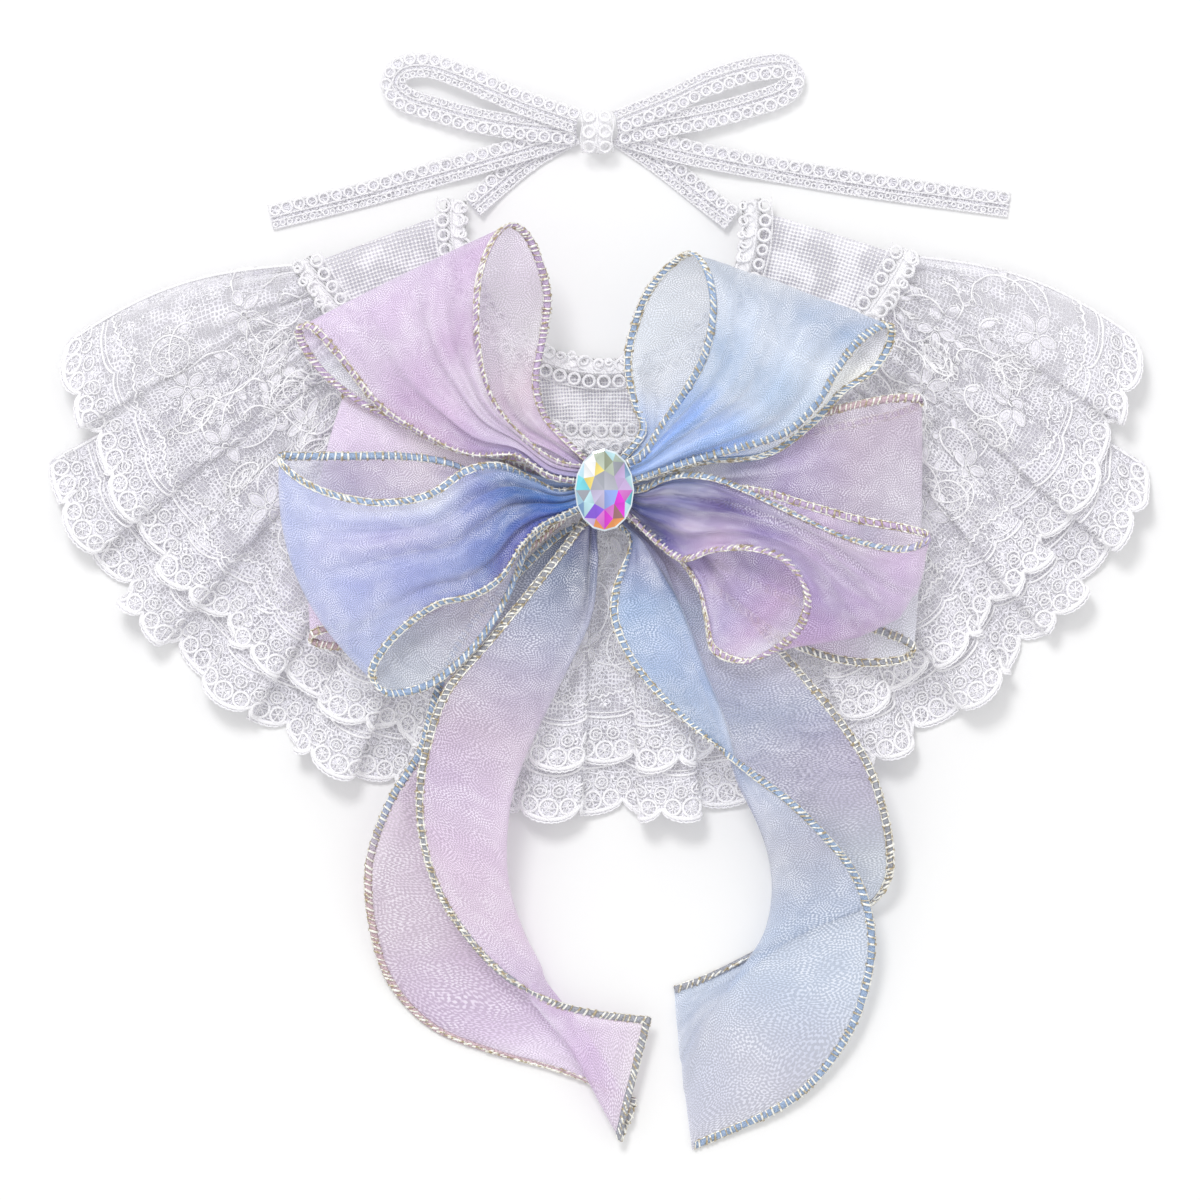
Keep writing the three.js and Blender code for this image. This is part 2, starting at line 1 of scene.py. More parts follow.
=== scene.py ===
# Bow collar: two lace tiers, a woven yoke, ring braid, a wired organza bow and a cut crystal
import bpy
import numpy as np
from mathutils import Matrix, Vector


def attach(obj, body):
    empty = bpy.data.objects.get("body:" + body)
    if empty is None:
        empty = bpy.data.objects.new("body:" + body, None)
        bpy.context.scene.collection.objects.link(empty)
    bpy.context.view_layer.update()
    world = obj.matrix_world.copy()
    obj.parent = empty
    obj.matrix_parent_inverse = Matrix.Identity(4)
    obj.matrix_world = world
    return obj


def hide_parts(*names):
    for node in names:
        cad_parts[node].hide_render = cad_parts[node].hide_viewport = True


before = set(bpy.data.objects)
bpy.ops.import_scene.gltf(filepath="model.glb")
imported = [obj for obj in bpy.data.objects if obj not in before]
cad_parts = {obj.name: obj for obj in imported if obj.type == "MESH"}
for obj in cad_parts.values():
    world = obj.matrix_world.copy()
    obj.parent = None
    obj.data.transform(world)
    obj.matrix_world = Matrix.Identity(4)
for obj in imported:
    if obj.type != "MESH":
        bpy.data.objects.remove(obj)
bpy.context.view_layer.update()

mm = 0.001  # every shape below is worked out in millimetres
uvSize = 100.0  # millimetres for each unit of a cloth coordinate
clearance = 0.02  # the least height of any point, in mm
fullTurn = 2 * np.pi
level = np.array([0.0, 0, 1])
print("frame loaded:", len(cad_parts), "nodes")


def linear(red, green, blue):
    # a screen colour of 0 to 255 as light: ((c + 0.055) / 1.055) to the power 2.4
    c = np.array([red, green, blue]) / 255
    return np.where(c > 0.04045, ((c + 0.055) / 1.055) ** 2.4, c / 12.92)


def unit(v):
    # vectors of length 1 along v
    return v / np.maximum(np.linalg.norm(v, axis=-1, keepdims=True), 1e-9)


def mix(a, b, share):
    # a + (b - a) share
    return a + (b - a) * share


def ramp(value, low, high):
    # 0 below low, 1 above high, 3t^2 - 2t^3 between
    t = np.clip((value - low) / (high - low), 0, 1)
    return t * t * (3 - 2 * t)


def wave(turns):
    # a sine wave by the number of turns
    return np.sin(fullTurn * turns)


def smoothLine(points, t, centripetal=False):
    # cubic through control points on axis 0: each stretch keeps half the step between its neighbours as its
    # slope, or with centripetal spacing the step over the square root of the distance
    points = np.asarray(points, float)
    ends = np.concatenate([2 * points[:1] - points[1:2], points, 2 * points[-1:] - points[-2:-1]])
    place = np.clip(np.asarray(t, float), 0, 1) * (len(points) - 1)
    k = np.minimum(place.astype(int), len(points) - 2)
    w = (place - k).reshape((-1,) + (1,) * (points.ndim - 1))
    p0, p1, p2, p3 = (ends[k + i] for i in range(4))
    if centripetal:
        r0, r1, r2 = (np.sqrt(np.maximum(np.linalg.norm(b - a, axis=-1, keepdims=True), 1e-6))
                      for a, b in ((p0, p1), (p1, p2), (p2, p3)))
        m1 = ((p1 - p0) / r0 - (p2 - p0) / (r0 + r1)) * r1 + (p2 - p1)
        m2 = (p2 - p1) - ((p3 - p1) / (r1 + r2) - (p3 - p2) / r2) * r1
    else:
        m1, m2 = (p2 - p0) / 2, (p3 - p1) / 2
    w2, w3 = w * w, w * w * w
    return (2 * w3 - 3 * w2 + 1) * p1 + (w3 - 2 * w2 + w) * m1 + (3 * w2 - 2 * w3) * p2 + (w3 - w2) * m2


def lengthsAlong(path):
    # distance walked to each point of a path
    steps = np.linalg.norm(np.diff(path, axis=0), axis=-1)
    return np.concatenate([[0], np.cumsum(steps)])


def sampled(grid, walked, at):
    # the rows of a table at the distances in at, where its own rows lie at the distances in walked
    return np.stack([np.interp(at, walked, column) for column in grid.T], -1)


def sideOf(path, ups):
    # the way to one side of a path: along x up
    return unit(np.cross(unit(np.gradient(path, axis=0)), ups))


def gridFaces(copies, rows, columns, closeRows=False, closeColumns=False):
    # four-cornered faces of grids kept one after another: corner (c, i, j) is number (c rows + i) columns + j
    i = np.arange(rows if closeRows else rows - 1)
    j = np.arange(columns if closeColumns else columns - 1)
    c, i, j = np.meshgrid(np.arange(copies), i, j, indexing="ij")

    def corner(a, b):
        return (c * rows + a % rows) * columns + b % columns

    return np.stack([corner(i, j), corner(i + 1, j), corner(i + 1, j + 1), corner(i, j + 1)], -1).reshape(-1,
                                                                                                          4)


def gridPart(points, uv=None, tint=None, closeRows=False):
    # one sheet: a grid of points, rows by columns
    part = {"points": points.reshape(-1, 3), "faces": gridFaces(1, *points.shape[:2], closeRows)}
    if uv is not None:
        part["uv"] = uv.reshape(-1, 2)
    if tint is not None:
        part["tint"] = tint.reshape(-1, 4)
    return part


def withShare(colours, share):
    # colours with a fourth value beside them
    return np.concatenate([colours, np.broadcast_to(share, colours.shape[:-1])[..., None]], -1)


def gridNormals(points):
    # normal of a grid: step along it x step across it
    return unit(np.cross(np.gradient(points, axis=0), np.gradient(points, axis=1)))


def tubes(paths, ups, radius, sides=4, closed=False, flat=1.0, turn=0.5, slot=0):
    # tubes round many paths at once: path + radius (cos q side + flat sin q up), with side = along x up
    paths = np.asarray(paths, float)
    if paths.ndim == 2:
        paths = paths[None]
        ups = np.asarray(ups, float)[None] if np.ndim(ups) == 2 else ups
    ups = np.broadcast_to(ups, paths.shape)
    if closed:
        along = unit(np.roll(paths, -1, 1) - np.roll(paths, 1, 1))
    else:
        along = unit(np.gradient(paths, axis=1))
    side = unit(np.cross(along, ups))
    up = np.cross(side, along)
    q = (np.arange(sides) + turn) * fullTurn / sides
    radius = np.broadcast_to(radius, paths.shape[:2])[..., None, None]
    ring = np.cos(q)[:, None] * side[:, :, None] + flat * np.sin(q)[:, None] * up[:, :, None]
    points = paths[:, :, None] + radius * ring
    k, n = paths.shape[:2]
    faces = [gridFaces(k, n, sides, closed, True)]
    if not closed:
        fan = np.array([[0, 2 * i + 1, 2 * i + 2, 2 * i + 3] for i in range((sides - 2) // 2)])
        first = (np.arange(k) * n * sides)[:, None, None]
        last = first + (n - 1) * sides
        faces += [(fan[None] + first).reshape(-1, 4), (fan[None, :, ::-1] + last).reshape(-1, 4)]
    return {"points": points.reshape(-1, 3), "faces": np.concatenate(faces), "slot": slot}


def makePiece(name, parts, materials, node=None, smooth=True):
    # joins parts, in millimetres, into one mesh object in metres that rides on the collar's only body, with
    # nothing lower than the surface that it lies on. It stands for the CAD's node where one is named
    points = np.concatenate([p["points"] for p in parts]) * mm
    points[:, 2] = np.maximum(points[:, 2], clearance * mm)
    firsts = np.cumsum([0] + [len(p["points"]) for p in parts])
    loops = np.concatenate([(p["faces"] + first).ravel() for p, first in zip(parts, firsts)])
    sizes = np.concatenate([np.full(len(p["faces"]), p["faces"].shape[1]) for p in parts])
    slots = np.concatenate([np.full(len(p["faces"]), p.get("slot", 0)) for p in parts])
    starts = np.concatenate([[0], np.cumsum(sizes)[:-1]])
    mesh = bpy.data.meshes.new(name)
    mesh.vertices.add(len(points))
    mesh.vertices.foreach_set("co", points.ravel())
    mesh.loops.add(len(loops))
    mesh.loops.foreach_set("vertex_index", loops.astype(np.int32))
    mesh.polygons.add(len(sizes))
    mesh.polygons.foreach_set("loop_start", starts.astype(np.int32))
    mesh.polygons.foreach_set("material_index", slots.astype(np.int32))
    mesh.polygons.foreach_set("use_smooth", np.full(len(sizes), smooth))
    mesh.update(calc_edges=True)
    if any("uv" in p for p in parts):
        uv = np.concatenate([p.get("uv", np.zeros((len(p["points"]), 2))) for p in parts])
        mesh.uv_layers.new(name="cloth").data.foreach_set("uv", uv[loops].ravel())
    if any("tint" in p for p in parts):
        tint = np.concatenate([p.get("tint", np.ones((len(p["points"]), 4))) for p in parts])
        layer = mesh.color_attributes.new(name="tint", type="FLOAT_COLOR", domain="POINT")
        layer.data.foreach_set("color", tint.ravel())
    for material in materials:
        mesh.materials.append(finishes[material])
    piece = bpy.data.objects.new(name, mesh)
    bpy.context.scene.collection.objects.link(piece)
    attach(piece, "root")
    if node:
        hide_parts(node)
    return piece


# Shader groups. Each reads a place in millimetres and gives masks, values and heights.
def newGroup(name, outputs, **inputs):
    # a group that reads a place and numbers with their usual values, and gives numbers
    group = bpy.data.node_groups.new(name, "ShaderNodeTree")
    group.interface.new_socket(name="Place", in_out="INPUT", socket_type="NodeSocketVector")
    for label, value in inputs.items():
        socket = group.interface.new_socket(name=label, in_out="INPUT", socket_type="NodeSocketFloat")
        socket.default_value = value
    for label in outputs:
        group.interface.new_socket(name=label, in_out="OUTPUT", socket_type="NodeSocketFloat")
    return group, group.nodes.new("NodeGroupInput").outputs, group.nodes.new("NodeGroupOutput").inputs


def wire(tree, source, target):
    # joins a socket, or sets a plain value
    if isinstance(source, bpy.types.NodeSocket):
        tree.links.new(source, target)
    else:
        target.default_value = source


def maths(tree, operation, *values):
    # a math node on plain numbers or sockets
    node = tree.nodes.new("ShaderNodeMath")
    node.operation = operation
    for value, target in zip(values, node.inputs):
        wire(tree, value, target)
    return node.outputs[0]


def plus(tree, first, second):
    # first + second
    return maths(tree, "ADD", first, second)


def times(tree, first, second):
    # first x second
    return maths(tree, "MULTIPLY", first, second)


def most(tree, first, second):
    # the greater of the two
    return maths(tree, "MAXIMUM", first, second)


def vectorMaths(tree, operation, *values):
    # a vector math node on plain vectors or sockets
    node = tree.nodes.new("ShaderNodeVectorMath")
    node.operation = operation
    for value, target in zip(values, [s for s in node.inputs if s.type == "VECTOR"]):
        wire(tree, value, target)
    return node.outputs["Value" if operation in ("DOT_PRODUCT", "LENGTH") else "Vector"]


def scaled(tree, vector, factor):
    # vector x factor
    node = tree.nodes.new("ShaderNodeVectorMath")
    node.operation = "SCALE"
    wire(tree, vector, node.inputs[0])
    wire(tree, factor, node.inputs["Scale"])
    return node.outputs[0]


def between(tree, value, low, high, toLow=0.0, toHigh=1.0):
    # a smooth step from toLow to toHigh as value goes from low to high
    node = tree.nodes.new("ShaderNodeMapRange")
    node.interpolation_type = "SMOOTHSTEP"
    numbers = {"Value": value, "From Min": low, "From Max": high, "To Min": toLow, "To Max": toHigh}
    for label, number in numbers.items():
        wire(tree, number, node.inputs[label])
    return node.outputs["Result"]


def noise(tree, place, scale, detail=2.0, rough=0.5, output="Fac", dimensions="2D"):
    # soft noise at a place; scale is for each millimetre
    node = tree.nodes.new("ShaderNodeTexNoise")
    node.noise_dimensions = dimensions
    wire(tree, place, node.inputs["Vector"])
    wire(tree, scale, node.inputs["Scale"])
    node.inputs["Detail"].default_value = detail
    node.inputs["Roughness"].default_value = rough
    return node.outputs[output]


netLook = {"softness": 0.08, "loopRadius": 0.24, "loopHeight": 0.8}


def netGroup():
    # net of uneven cells: thread where the distance to the nearest cell border is small, and where asked a
    # loop of thread inside each cell, round its middle
    group, given, result = newGroup("cellNet", ("Thread", "Height"), Cell=1.0, Thread=0.1, Uneven=0.6,
                                    Loop=0.0)
    found = []
    for feature in ("DISTANCE_TO_EDGE", "F1"):
        cells = group.nodes.new("ShaderNodeTexVoronoi")
        cells.voronoi_dimensions = "2D"
        cells.feature = feature
        wire(group, given["Uneven"], cells.inputs["Randomness"])
        wire(group, given["Place"], cells.inputs["Vector"])
        wire(group, maths(group, "DIVIDE", 1.0, given["Cell"]), cells.inputs["Scale"])
        found.append(cells.outputs["Distance"])
    toBorder, toMiddle = found
    thread = given["Thread"]
    soft = plus(group, thread, netLook["softness"])
    edge = between(group, toBorder, thread, soft, 1.0, 0.0)
    fromLoop = maths(group, "ABSOLUTE", maths(group, "SUBTRACT", toMiddle, netLook["loopRadius"]))
    loop = times(group, between(group, fromLoop, thread, soft, 1.0, 0.0), given["Loop"])
    wire(group, most(group, edge, loop), result["Thread"])
    raised = between(group, toBorder, 0.0, soft, 1.0, 0.0)
    wire(group, most(group, raised, times(group, loop, netLook["loopHeight"])), result["Height"])
    return group


def weaveGroup():
    # plain open weave: a round hole in the middle of every square of the grid, threads rising between
    group, given, result = newGroup("openWeave", ("Thread", "Height"), Cell=0.8, Hole=0.26, Wobble=0.25)
    half = (0.5, 0.5, 0.5)
    stray = vectorMaths(group, "SUBTRACT", noise(group, given["Place"], 0.35, 3, output="Color"), half)
    place = vectorMaths(group, "ADD", given["Place"], scaled(group, stray, given["Wobble"]))
    counted = scaled(group, place, maths(group, "DIVIDE", 1.0, given["Cell"]))
    cell = vectorMaths(group, "WRAP", counted, half, (-0.5, -0.5, -0.5))
    away = vectorMaths(group, "LENGTH", vectorMaths(group, "MULTIPLY", cell, (1, 1, 0)))
    uneven = between(group, noise(group, given["Place"], 0.14, 3), 0.34, 0.62, 0.25, 1.1)
    hole = times(group, given["Hole"], uneven)
    wire(group, between(group, away, hole, plus(group, hole, 0.14)), result["Thread"])
    wire(group, between(group, away, hole, 0.62), result["Height"])
    return group


mazeLook = {"ways": 5, "bend": 22.0, "bendScale": 0.33, "low": -0.8, "high": 2.1, "pitch": 0.46,
            "fineScale": 0.24, "fineLeast": 0.55, "cloudScale": 0.07, "creaseScale": 0.35}


def crinkleGroup():
    # masks for painted light on sheer crinkled cloth: close wandering ridges like a fingerprint, which take
    # painted glints and are brighter in some places than in others, under slow clouds of painted sheen. The
    # ridges are the tops of a sum of waves sin(way along + bend) whose ways run evenly round the half turn,
    # each wave bent by a slow noise of its own
    group, given, result = newGroup("crinkle", ("Ridge", "SheenCloud", "Height"), Pitch=0.6)
    place = given["Place"]
    bends = []
    for away in ((0, 0, 0), (31, 17, 0)):
        split = group.nodes.new("ShaderNodeSeparateColor")
        moved = vectorMaths(group, "ADD", place, away)
        wire(group, noise(group, moved, mazeLook["bendScale"], 0, output="Color"), split.inputs[0])
        bends += list(split.outputs)[:3]
    waves = 0.0
    for angle, bend in zip(np.arange(mazeLook["ways"]) * np.pi / mazeLook["ways"], bends):
        way = vectorMaths(group, "DOT_PRODUCT", place, (np.cos(angle), np.sin(angle), 0))
        walked = maths(group, "DIVIDE", times(group, way, fullTurn), given["Pitch"])
        turned = plus(group, walked, times(group, bend, mazeLook["bend"]))
        waves = plus(group, maths(group, "SINE", turned), waves)
    fine = between(group, noise(group, place, mazeLook["fineScale"], 1), 0.35, 0.65, mazeLook["fineLeast"])
    wire(group, times(group, between(group, waves, mazeLook["low"], mazeLook["high"]), fine), result["Ridge"])
    wire(group, between(group, noise(group, place, mazeLook["cloudScale"], 1, 0.55), 0.36, 0.64),
         result["SheenCloud"])
    wire(group, noise(group, place, mazeLook["creaseScale"], 2, 0.6), result["Height"])
    return group


def threadGroup():
    # corded thread: slanting plies along the cord's length with a little fuzz
    group, given, result = newGroup("cordedThread", ("Shade", "Height"))
    ply = group.nodes.new("ShaderNodeTexWave")
    ply.bands_direction = "DIAGONAL"
    wire(group, given["Place"], ply.inputs["Vector"])
    for label, value in {"Scale": 0.9, "Distortion": 3.0, "Detail": 2.0, "Detail Scale": 1.6}.items():
        ply.inputs[label].default_value = value
    fuzz = noise(group, given["Place"], 2.6, 3, 0.6, dimensions="3D")
    wire(group, between(group, fuzz, 0.3, 0.7), result["Shade"])
    wire(group, plus(group, times(group, ply.outputs["Fac"], 0.6), times(group, fuzz, 0.4)), result["Height"])
    return group


groups = {"net": netGroup(), "weave": weaveGroup(), "crinkle": crinkleGroup(), "thread": threadGroup()}


def startMaterial(name, roughness, glow=None, **fixed):
    # glow: the colour of a painted glow, light that the cloth gives off itself in place of the light that
    # white cloth passes on inside itself
    material = bpy.data.materials.new(name)
    material.use_nodes = True
    shader = material.node_tree.nodes["Principled BSDF"]
    shader.inputs["Roughness"].default_value = roughness
    # painted glow: the cloth gives off light of its own
    if glow is not None:
        shader.inputs["Emission Strength"].default_value = laceLook["glow"]
        shader.inputs["Emission Color"].default_value = (*glow, 1)
    for label, value in fixed.items():
        shader.inputs[label.replace("_", " ")].default_value = value
    return material, material.node_tree, shader


def placeFrom(tree, source="Object"):
    # the place in millimetres, from the object's own coordinates or the cloth's
    if source == "Object":
        place = tree.nodes.new("ShaderNodeTexCoord").outputs["Object"]
        size = 1 / mm
    else:
        uv = tree.nodes.new("ShaderNodeUVMap")
        uv.uv_map = source
        place, size = uv.outputs["UV"], uvSize
    scale = tree.nodes.new("ShaderNodeMapping")
    scale.inputs["Scale"].default_value = (size, size, size)
    wire(tree, place, scale.inputs["Vector"])
    return scale.outputs["Vector"]


def useGroup(tree, name, place, **values):
    # what a group gives at a place, with some of its numbers set
    node = tree.nodes.new("ShaderNodeGroup")
    node.node_tree = groups[name]
    wire(tree, place, node.inputs["Place"])
    for label, value in values.items():
        wire(tree, value, node.inputs[label])
    return node.outputs


def tintOf(tree):
    # the piece's own colours and their fourth value
    node = tree.nodes.new("ShaderNodeVertexColor")
    node.layer_name = "tint"
    return node.outputs


def blendColours(tree, share, first, second):
    # first + (second - first) share
    node = tree.nodes.new("ShaderNodeMix")
    node.data_type = "RGBA"
    wire(tree, share, node.inputs[0])
    for value, target in ((first, node.inputs[6]), (second, node.inputs[7])):
        wire(tree, value if isinstance(value, bpy.types.NodeSocket) else (*value, 1), target)
    return node.outputs[2]


def bumpFrom(tree, shader, height, depth):
    # raises the surface by depth, in millimetres, times height
    bump = tree.nodes.new("ShaderNodeBump")
    bump.inputs["Strength"].default_value = 1.0
    bump.inputs["Distance"].default_value = depth * mm
    wire(tree, height, bump.inputs["Height"])
    wire(tree, bump.outputs["Normal"], shader.inputs["Normal"])


laceLook = {
    # the hole colour and the veil: painted shade, a grey-lilac veil a third opaque over every hole for the
    # shaded layers under the net
    "white": linear(246, 245, 249), "shade": linear(230, 228, 238), "hole": linear(210, 206, 219),
    "veil": 0.33, "cell": 0.98, "workedCell": 2.1, "thread": (0.07, 0.2), "border": (6.0, 8.5),
    # glow: the strength of the painted glow of the white cloth, cords and braid
    "cordWhite": linear(248, 247, 250), "fill": linear(240, 238, 245), "glow": 0.12, "depth": 0.25,
}


def laceMaterial():
    # net of fine thread, thicker in some places; lace worked closer in patches and along the border, which
    # ends between two distances from the free edge. The holes hold a grey-lilac veil of painted shade for the
    # shaded layers under the net, and the cloth has a painted glow
    material, tree, shader = startMaterial("whiteLaceNet", 0.8, laceLook["white"], Sheen_Weight=0.15)
    place = placeFrom(tree, "cloth")
    thick = between(tree, noise(tree, place, 0.16, 1), 0.36, 0.64, *laceLook["thread"])
    net = useGroup(tree, "net", place, Cell=laceLook["cell"], Thread=thick, Uneven=0.6)
    worked = useGroup(tree, "net", place, Cell=laceLook["workedCell"], Thread=laceLook["thread"][0],
                      Uneven=0.8, Loop=1.0)
    split = tree.nodes.new("ShaderNodeSeparateXYZ")
    wire(tree, place, split.inputs[0])
    border = between(tree, split.outputs["Y"], *laceLook["border"], 1.0, 0.0)
    patches = between(tree, noise(tree, place, 0.13, 2, 0.55), 0.5, 0.56)
    figures = times(tree, worked["Thread"], most(tree, border, patches))
    thread = most(tree, net["Thread"], figures)
    # painted shade: the veil over the holes
    wire(tree, most(tree, thread, laceLook["veil"]), shader.inputs["Alpha"])
    shaded = blendColours(tree, noise(tree, place, 0.4, 1), laceLook["shade"], laceLook["white"])
    wire(tree, blendColours(tree, thread, laceLook["hole"], shaded), shader.inputs["Base Color"])
    bumpFrom(tree, shader, plus(tree, times(tree, net["Height"], 0.6), figures), laceLook["depth"])
    return material


def cordMaterial(name, colour, roughness=0.7, depth=0.12):
    # twisted thread of one colour, a little darker in places, with a painted glow of the same colour
    material, tree, shader = startMaterial(name, roughness, colour, Sheen_Weight=0.2)
    thread = useGroup(tree, "thread", placeFrom(tree))
    wire(tree, blendColours(tree, thread["Shade"], colour * 0.9, colour), shader.inputs["Base Color"])
    bumpFrom(tree, shader, thread["Height"], depth)
    return material


# the hole colour is painted shade in the holes, and the threads are painted darker low down and white on top
weaveLook = {"cell": 0.8, "hole": 0.24, "wobble": 0.5, "veil": 0.6, "depth": 0.3,
             "holeShade": linear(190, 187, 201), "shade": linear(232, 229, 238), "white": linear(250, 249, 252)}


def weaveMaterial():
    # open weave: darker and half clear in the holes, the darkness painted shade; white on top of the threads
    # with painted shade lower down on them; and a painted glow
    material, tree, shader = startMaterial("openWeaveWhite", 0.85, laceLook["white"], Sheen_Weight=0.1)
    weave = useGroup(tree, "weave", placeFrom(tree, "cloth"), Cell=weaveLook["cell"], Hole=weaveLook["hole"],
                     Wobble=weaveLook["wobble"])
    wire(tree, most(tree, weave["Thread"], weaveLook["veil"]), shader.inputs["Alpha"])
    thread = blendColours(tree, weave["Height"], weaveLook["shade"], weaveLook["white"])
    wire(tree, blendColours(tree, weave["Thread"], weaveLook["holeShade"], thread), shader.inputs["Base Color"])
    bumpFrom(tree, shader, weave["Height"], weaveLook["depth"])
    return material


# the glint colour, shimmer and ridge white set the painted glints on the ridges, the cloud share the painted
# sheen in slow clouds, the groove share the painted shade between the ridges, and glow a painted glow of the
# ribbon's colours
organzaLook = {
    "sheer": 0.6, "dense": 0.95, "palest": 0.97, "lightOpen": 1.01, "lightKnot": 0.79,
    "lightHue": (1.0, 1.0, 1.06), "ridgeWhite": 0.13, "glint": linear(252, 252, 255), "creaseDepth": 0.26,
    "roughness": 0.4, "glow": 0.1, "shimmer": 0.6, "sheenCloud": 0.06, "grooveShade": 0.22, "thinner": 0.08,
    "thicker": 0.14,
}


def organzaMaterial():
    # sheer ribbon: its colours from the tint, which carries painted shade and highlights; painted glints
    # lighten the ridges, painted shade deepens the grooves between them and painted sheen lies in slow
    # clouds, all given off again as a painted glow; the tint's fourth value says how thick the cloth lies
    material, tree, shader = startMaterial("sheerOrganza", organzaLook["roughness"], Sheen_Weight=0.25,
                                           Emission_Strength=organzaLook["glow"])
    crinkle = useGroup(tree, "crinkle", placeFrom(tree, "cloth"), Pitch=mazeLook["pitch"])
    ridge, sheenCloud = crinkle["Ridge"], crinkle["SheenCloud"]
    tint = tintOf(tree)
    # painted shade between the ridges
    deep = vectorMaths(tree, "MULTIPLY", tint["Color"], (1 - organzaLook["grooveShade"],) * 3)
    grooveShaded = blendColours(tree, between(tree, ridge, 0.0, 0.35), deep, tint["Color"])
    # painted sheen in slow clouds
    sheened = blendColours(tree, times(tree, sheenCloud, organzaLook["sheenCloud"]), grooveShaded, organzaLook["glint"])
    # painted glints on the ridges, stronger under the clouds
    gleam = plus(tree, times(tree, sheenCloud, 0.5), 0.5)
    shine = times(tree, times(tree, ridge, gleam), organzaLook["shimmer"])
    lit = blendColours(tree, shine, sheened, organzaLook["glint"])
    wire(tree, lit, shader.inputs["Base Color"])
    # painted glow: the ribbon gives off its own painted colours
    wire(tree, lit, shader.inputs["Emission Color"])
    thin = maths(tree, "SUBTRACT", tint["Alpha"], organzaLook["thinner"])
    thick = plus(tree, tint["Alpha"], organzaLook["thicker"])
    wire(tree, between(tree, ridge, 0.0, 0.8, thin, thick), shader.inputs["Alpha"])
    bumpFrom(tree, shader, crinkle["Height"], organzaLook["creaseDepth"])
    return material


# dull gold, and the white of its painted glints
goldLook = {"dull": linear(184, 168, 136), "glintWhite": linear(255, 254, 246)}


def goldMaterial():
    # thread that glitters: dull brown gold to nearly white by fine noise, the near-white spots painted glints
    material, tree, shader = startMaterial("paleGoldThread", 0.32, Metallic=0.35)
    glitter = between(tree, noise(tree, placeFrom(tree), 0.8, 3, 0.65, dimensions="3D"), 0.4, 0.54)
    wire(tree, blendColours(tree, glitter, goldLook["dull"], goldLook["glintWhite"]), shader.inputs["Base Color"])
    return material


def wireMaterial():
    # corded thread in the edge's own dye, darker in the grooves and paler on the fuzz
    material, tree, shader = startMaterial("ribbonEdgeCord", 0.45, Sheen_Weight=0.2)
    thread = useGroup(tree, "thread", placeFrom(tree))
    deep, pale = (vectorMaths(tree, "MULTIPLY", tintOf(tree)["Color"], (share,) * 3) for share in (0.72, 1.3))
    wire(tree, blendColours(tree, thread["Shade"], deep, pale), shader.inputs["Base Color"])
    bumpFrom(tree, shader, thread["Height"], 0.15)
    return material


def crystalMaterial():
    # each facet's painted reflection colour under a clear coat
    material, tree, shader = startMaterial("cutCrystal", 0.06, Coat_Weight=1.0, Coat_Roughness=0.02,
                                           Metallic=0.35)
    wire(tree, tintOf(tree)["Color"], shader.inputs["Base Color"])
    return material


finishes = {
    "lace": laceMaterial(),
    "laceCord": cordMaterial("laceCordWhite", laceLook["cordWhite"]),
    "laceFill": cordMaterial("laceFillWhite", laceLook["fill"], 0.8, 0.2),
    "braid": cordMaterial("ringBraidWhite", laceLook["cordWhite"], 0.75, 0.18),
    "weave": weaveMaterial(),
    "organza": organzaMaterial(),
    "wire": wireMaterial(),
    "gold": goldMaterial(),
    "crystal": crystalMaterial(),
}
print("materials made:", len(finishes))

# The lace tiers: both are cut from one kind of edged lace, gathered along the seam
fan = {
    "seam": (1.3, 109.3), "seamRadius": 74.5, "seamFrom": 26.5, "seamTo": 151.8, "seamHigh": 2.6,
    "edgeHigh": 0.6, "lowest": 0.45, "centre": (0.4, 79.4), "reach": 130.4, "bottomDip": 3.4, "dipHalf": 16,
    "foldReach": 2.5, "sideReach": 3.0, "sideHalf": 70, "sidePower": 4,
    "folds": [  # middle and half width in degrees, height in mm
        (17, 7, 6.4), (28, 6, 7.6), (38.5, 5.5, 6.6), (49.5, 6, 8), (61, 6, 6.6), (72, 5.5, 7.4), (83, 6, 8),
        (95, 6.5, 6.4), (107, 6, 7.6), (118, 5.5, 7.8), (129, 6, 6.6), (140, 5.5, 8), (151, 6, 6.8),
        (162.5, 6.5, 6.4),
    ],
    "foldHigh": 8, "foldMean": 3.5, "foldPower": 1.3, "tuck": 2.7, "tuckSpread": (0.7, 1.25), "lean": 0.45,
    "heldEnd": 0.05, "gathers": 0.4, "gatherDeep": 0.9, "gatherFade": 0.3, "gatherLeft": 0.14, "ripples": 34,
    "rippleDeep": 0.35, "bulgeEnd": 0.07, "scallop": 14.0, "scallopDeep": 3.3, "scallopPower": 1.2,
    "inset": 2.7, "lobeSteps": 20, "deepSteps": 54, "seed": 5,
}

tiers = {
    "lowerRuffle": {
        "node": "lower_ruffle", "from": 22.5, "to": 158, "ends": 1.0, "endsAtSides": 1.0, "lift": 0.0,
        "phase": 0.0, "bulge": 0.0, "flowerRows": (23,)},
    "upperRuffle": {
        "node": "upper_ruffle", "from": 11.5, "to": 168.3, "ends": 0.865, "endsAtSides": 0.83, "lift": 2.2,
        "phase": 0.35, "bulge": 4.6, "flowerRows": (23, 42)},
}
foldDraw = np.random.default_rng(fan["seed"])
foldTuck = foldDraw.uniform(*fan["tuckSpread"], len(fan["folds"]))
foldLean = foldDraw.uniform(-1, 1, len(fan["folds"]))


def around(centre, radius, angle):
    # a point at an angle below the line to the right: centre + radius (cos, -sin)
    a = np.radians(angle)
    return np.stack([centre[0] + radius * np.cos(a), centre[1] - radius * np.sin(a),
                     np.zeros_like(a * radius)], -1)


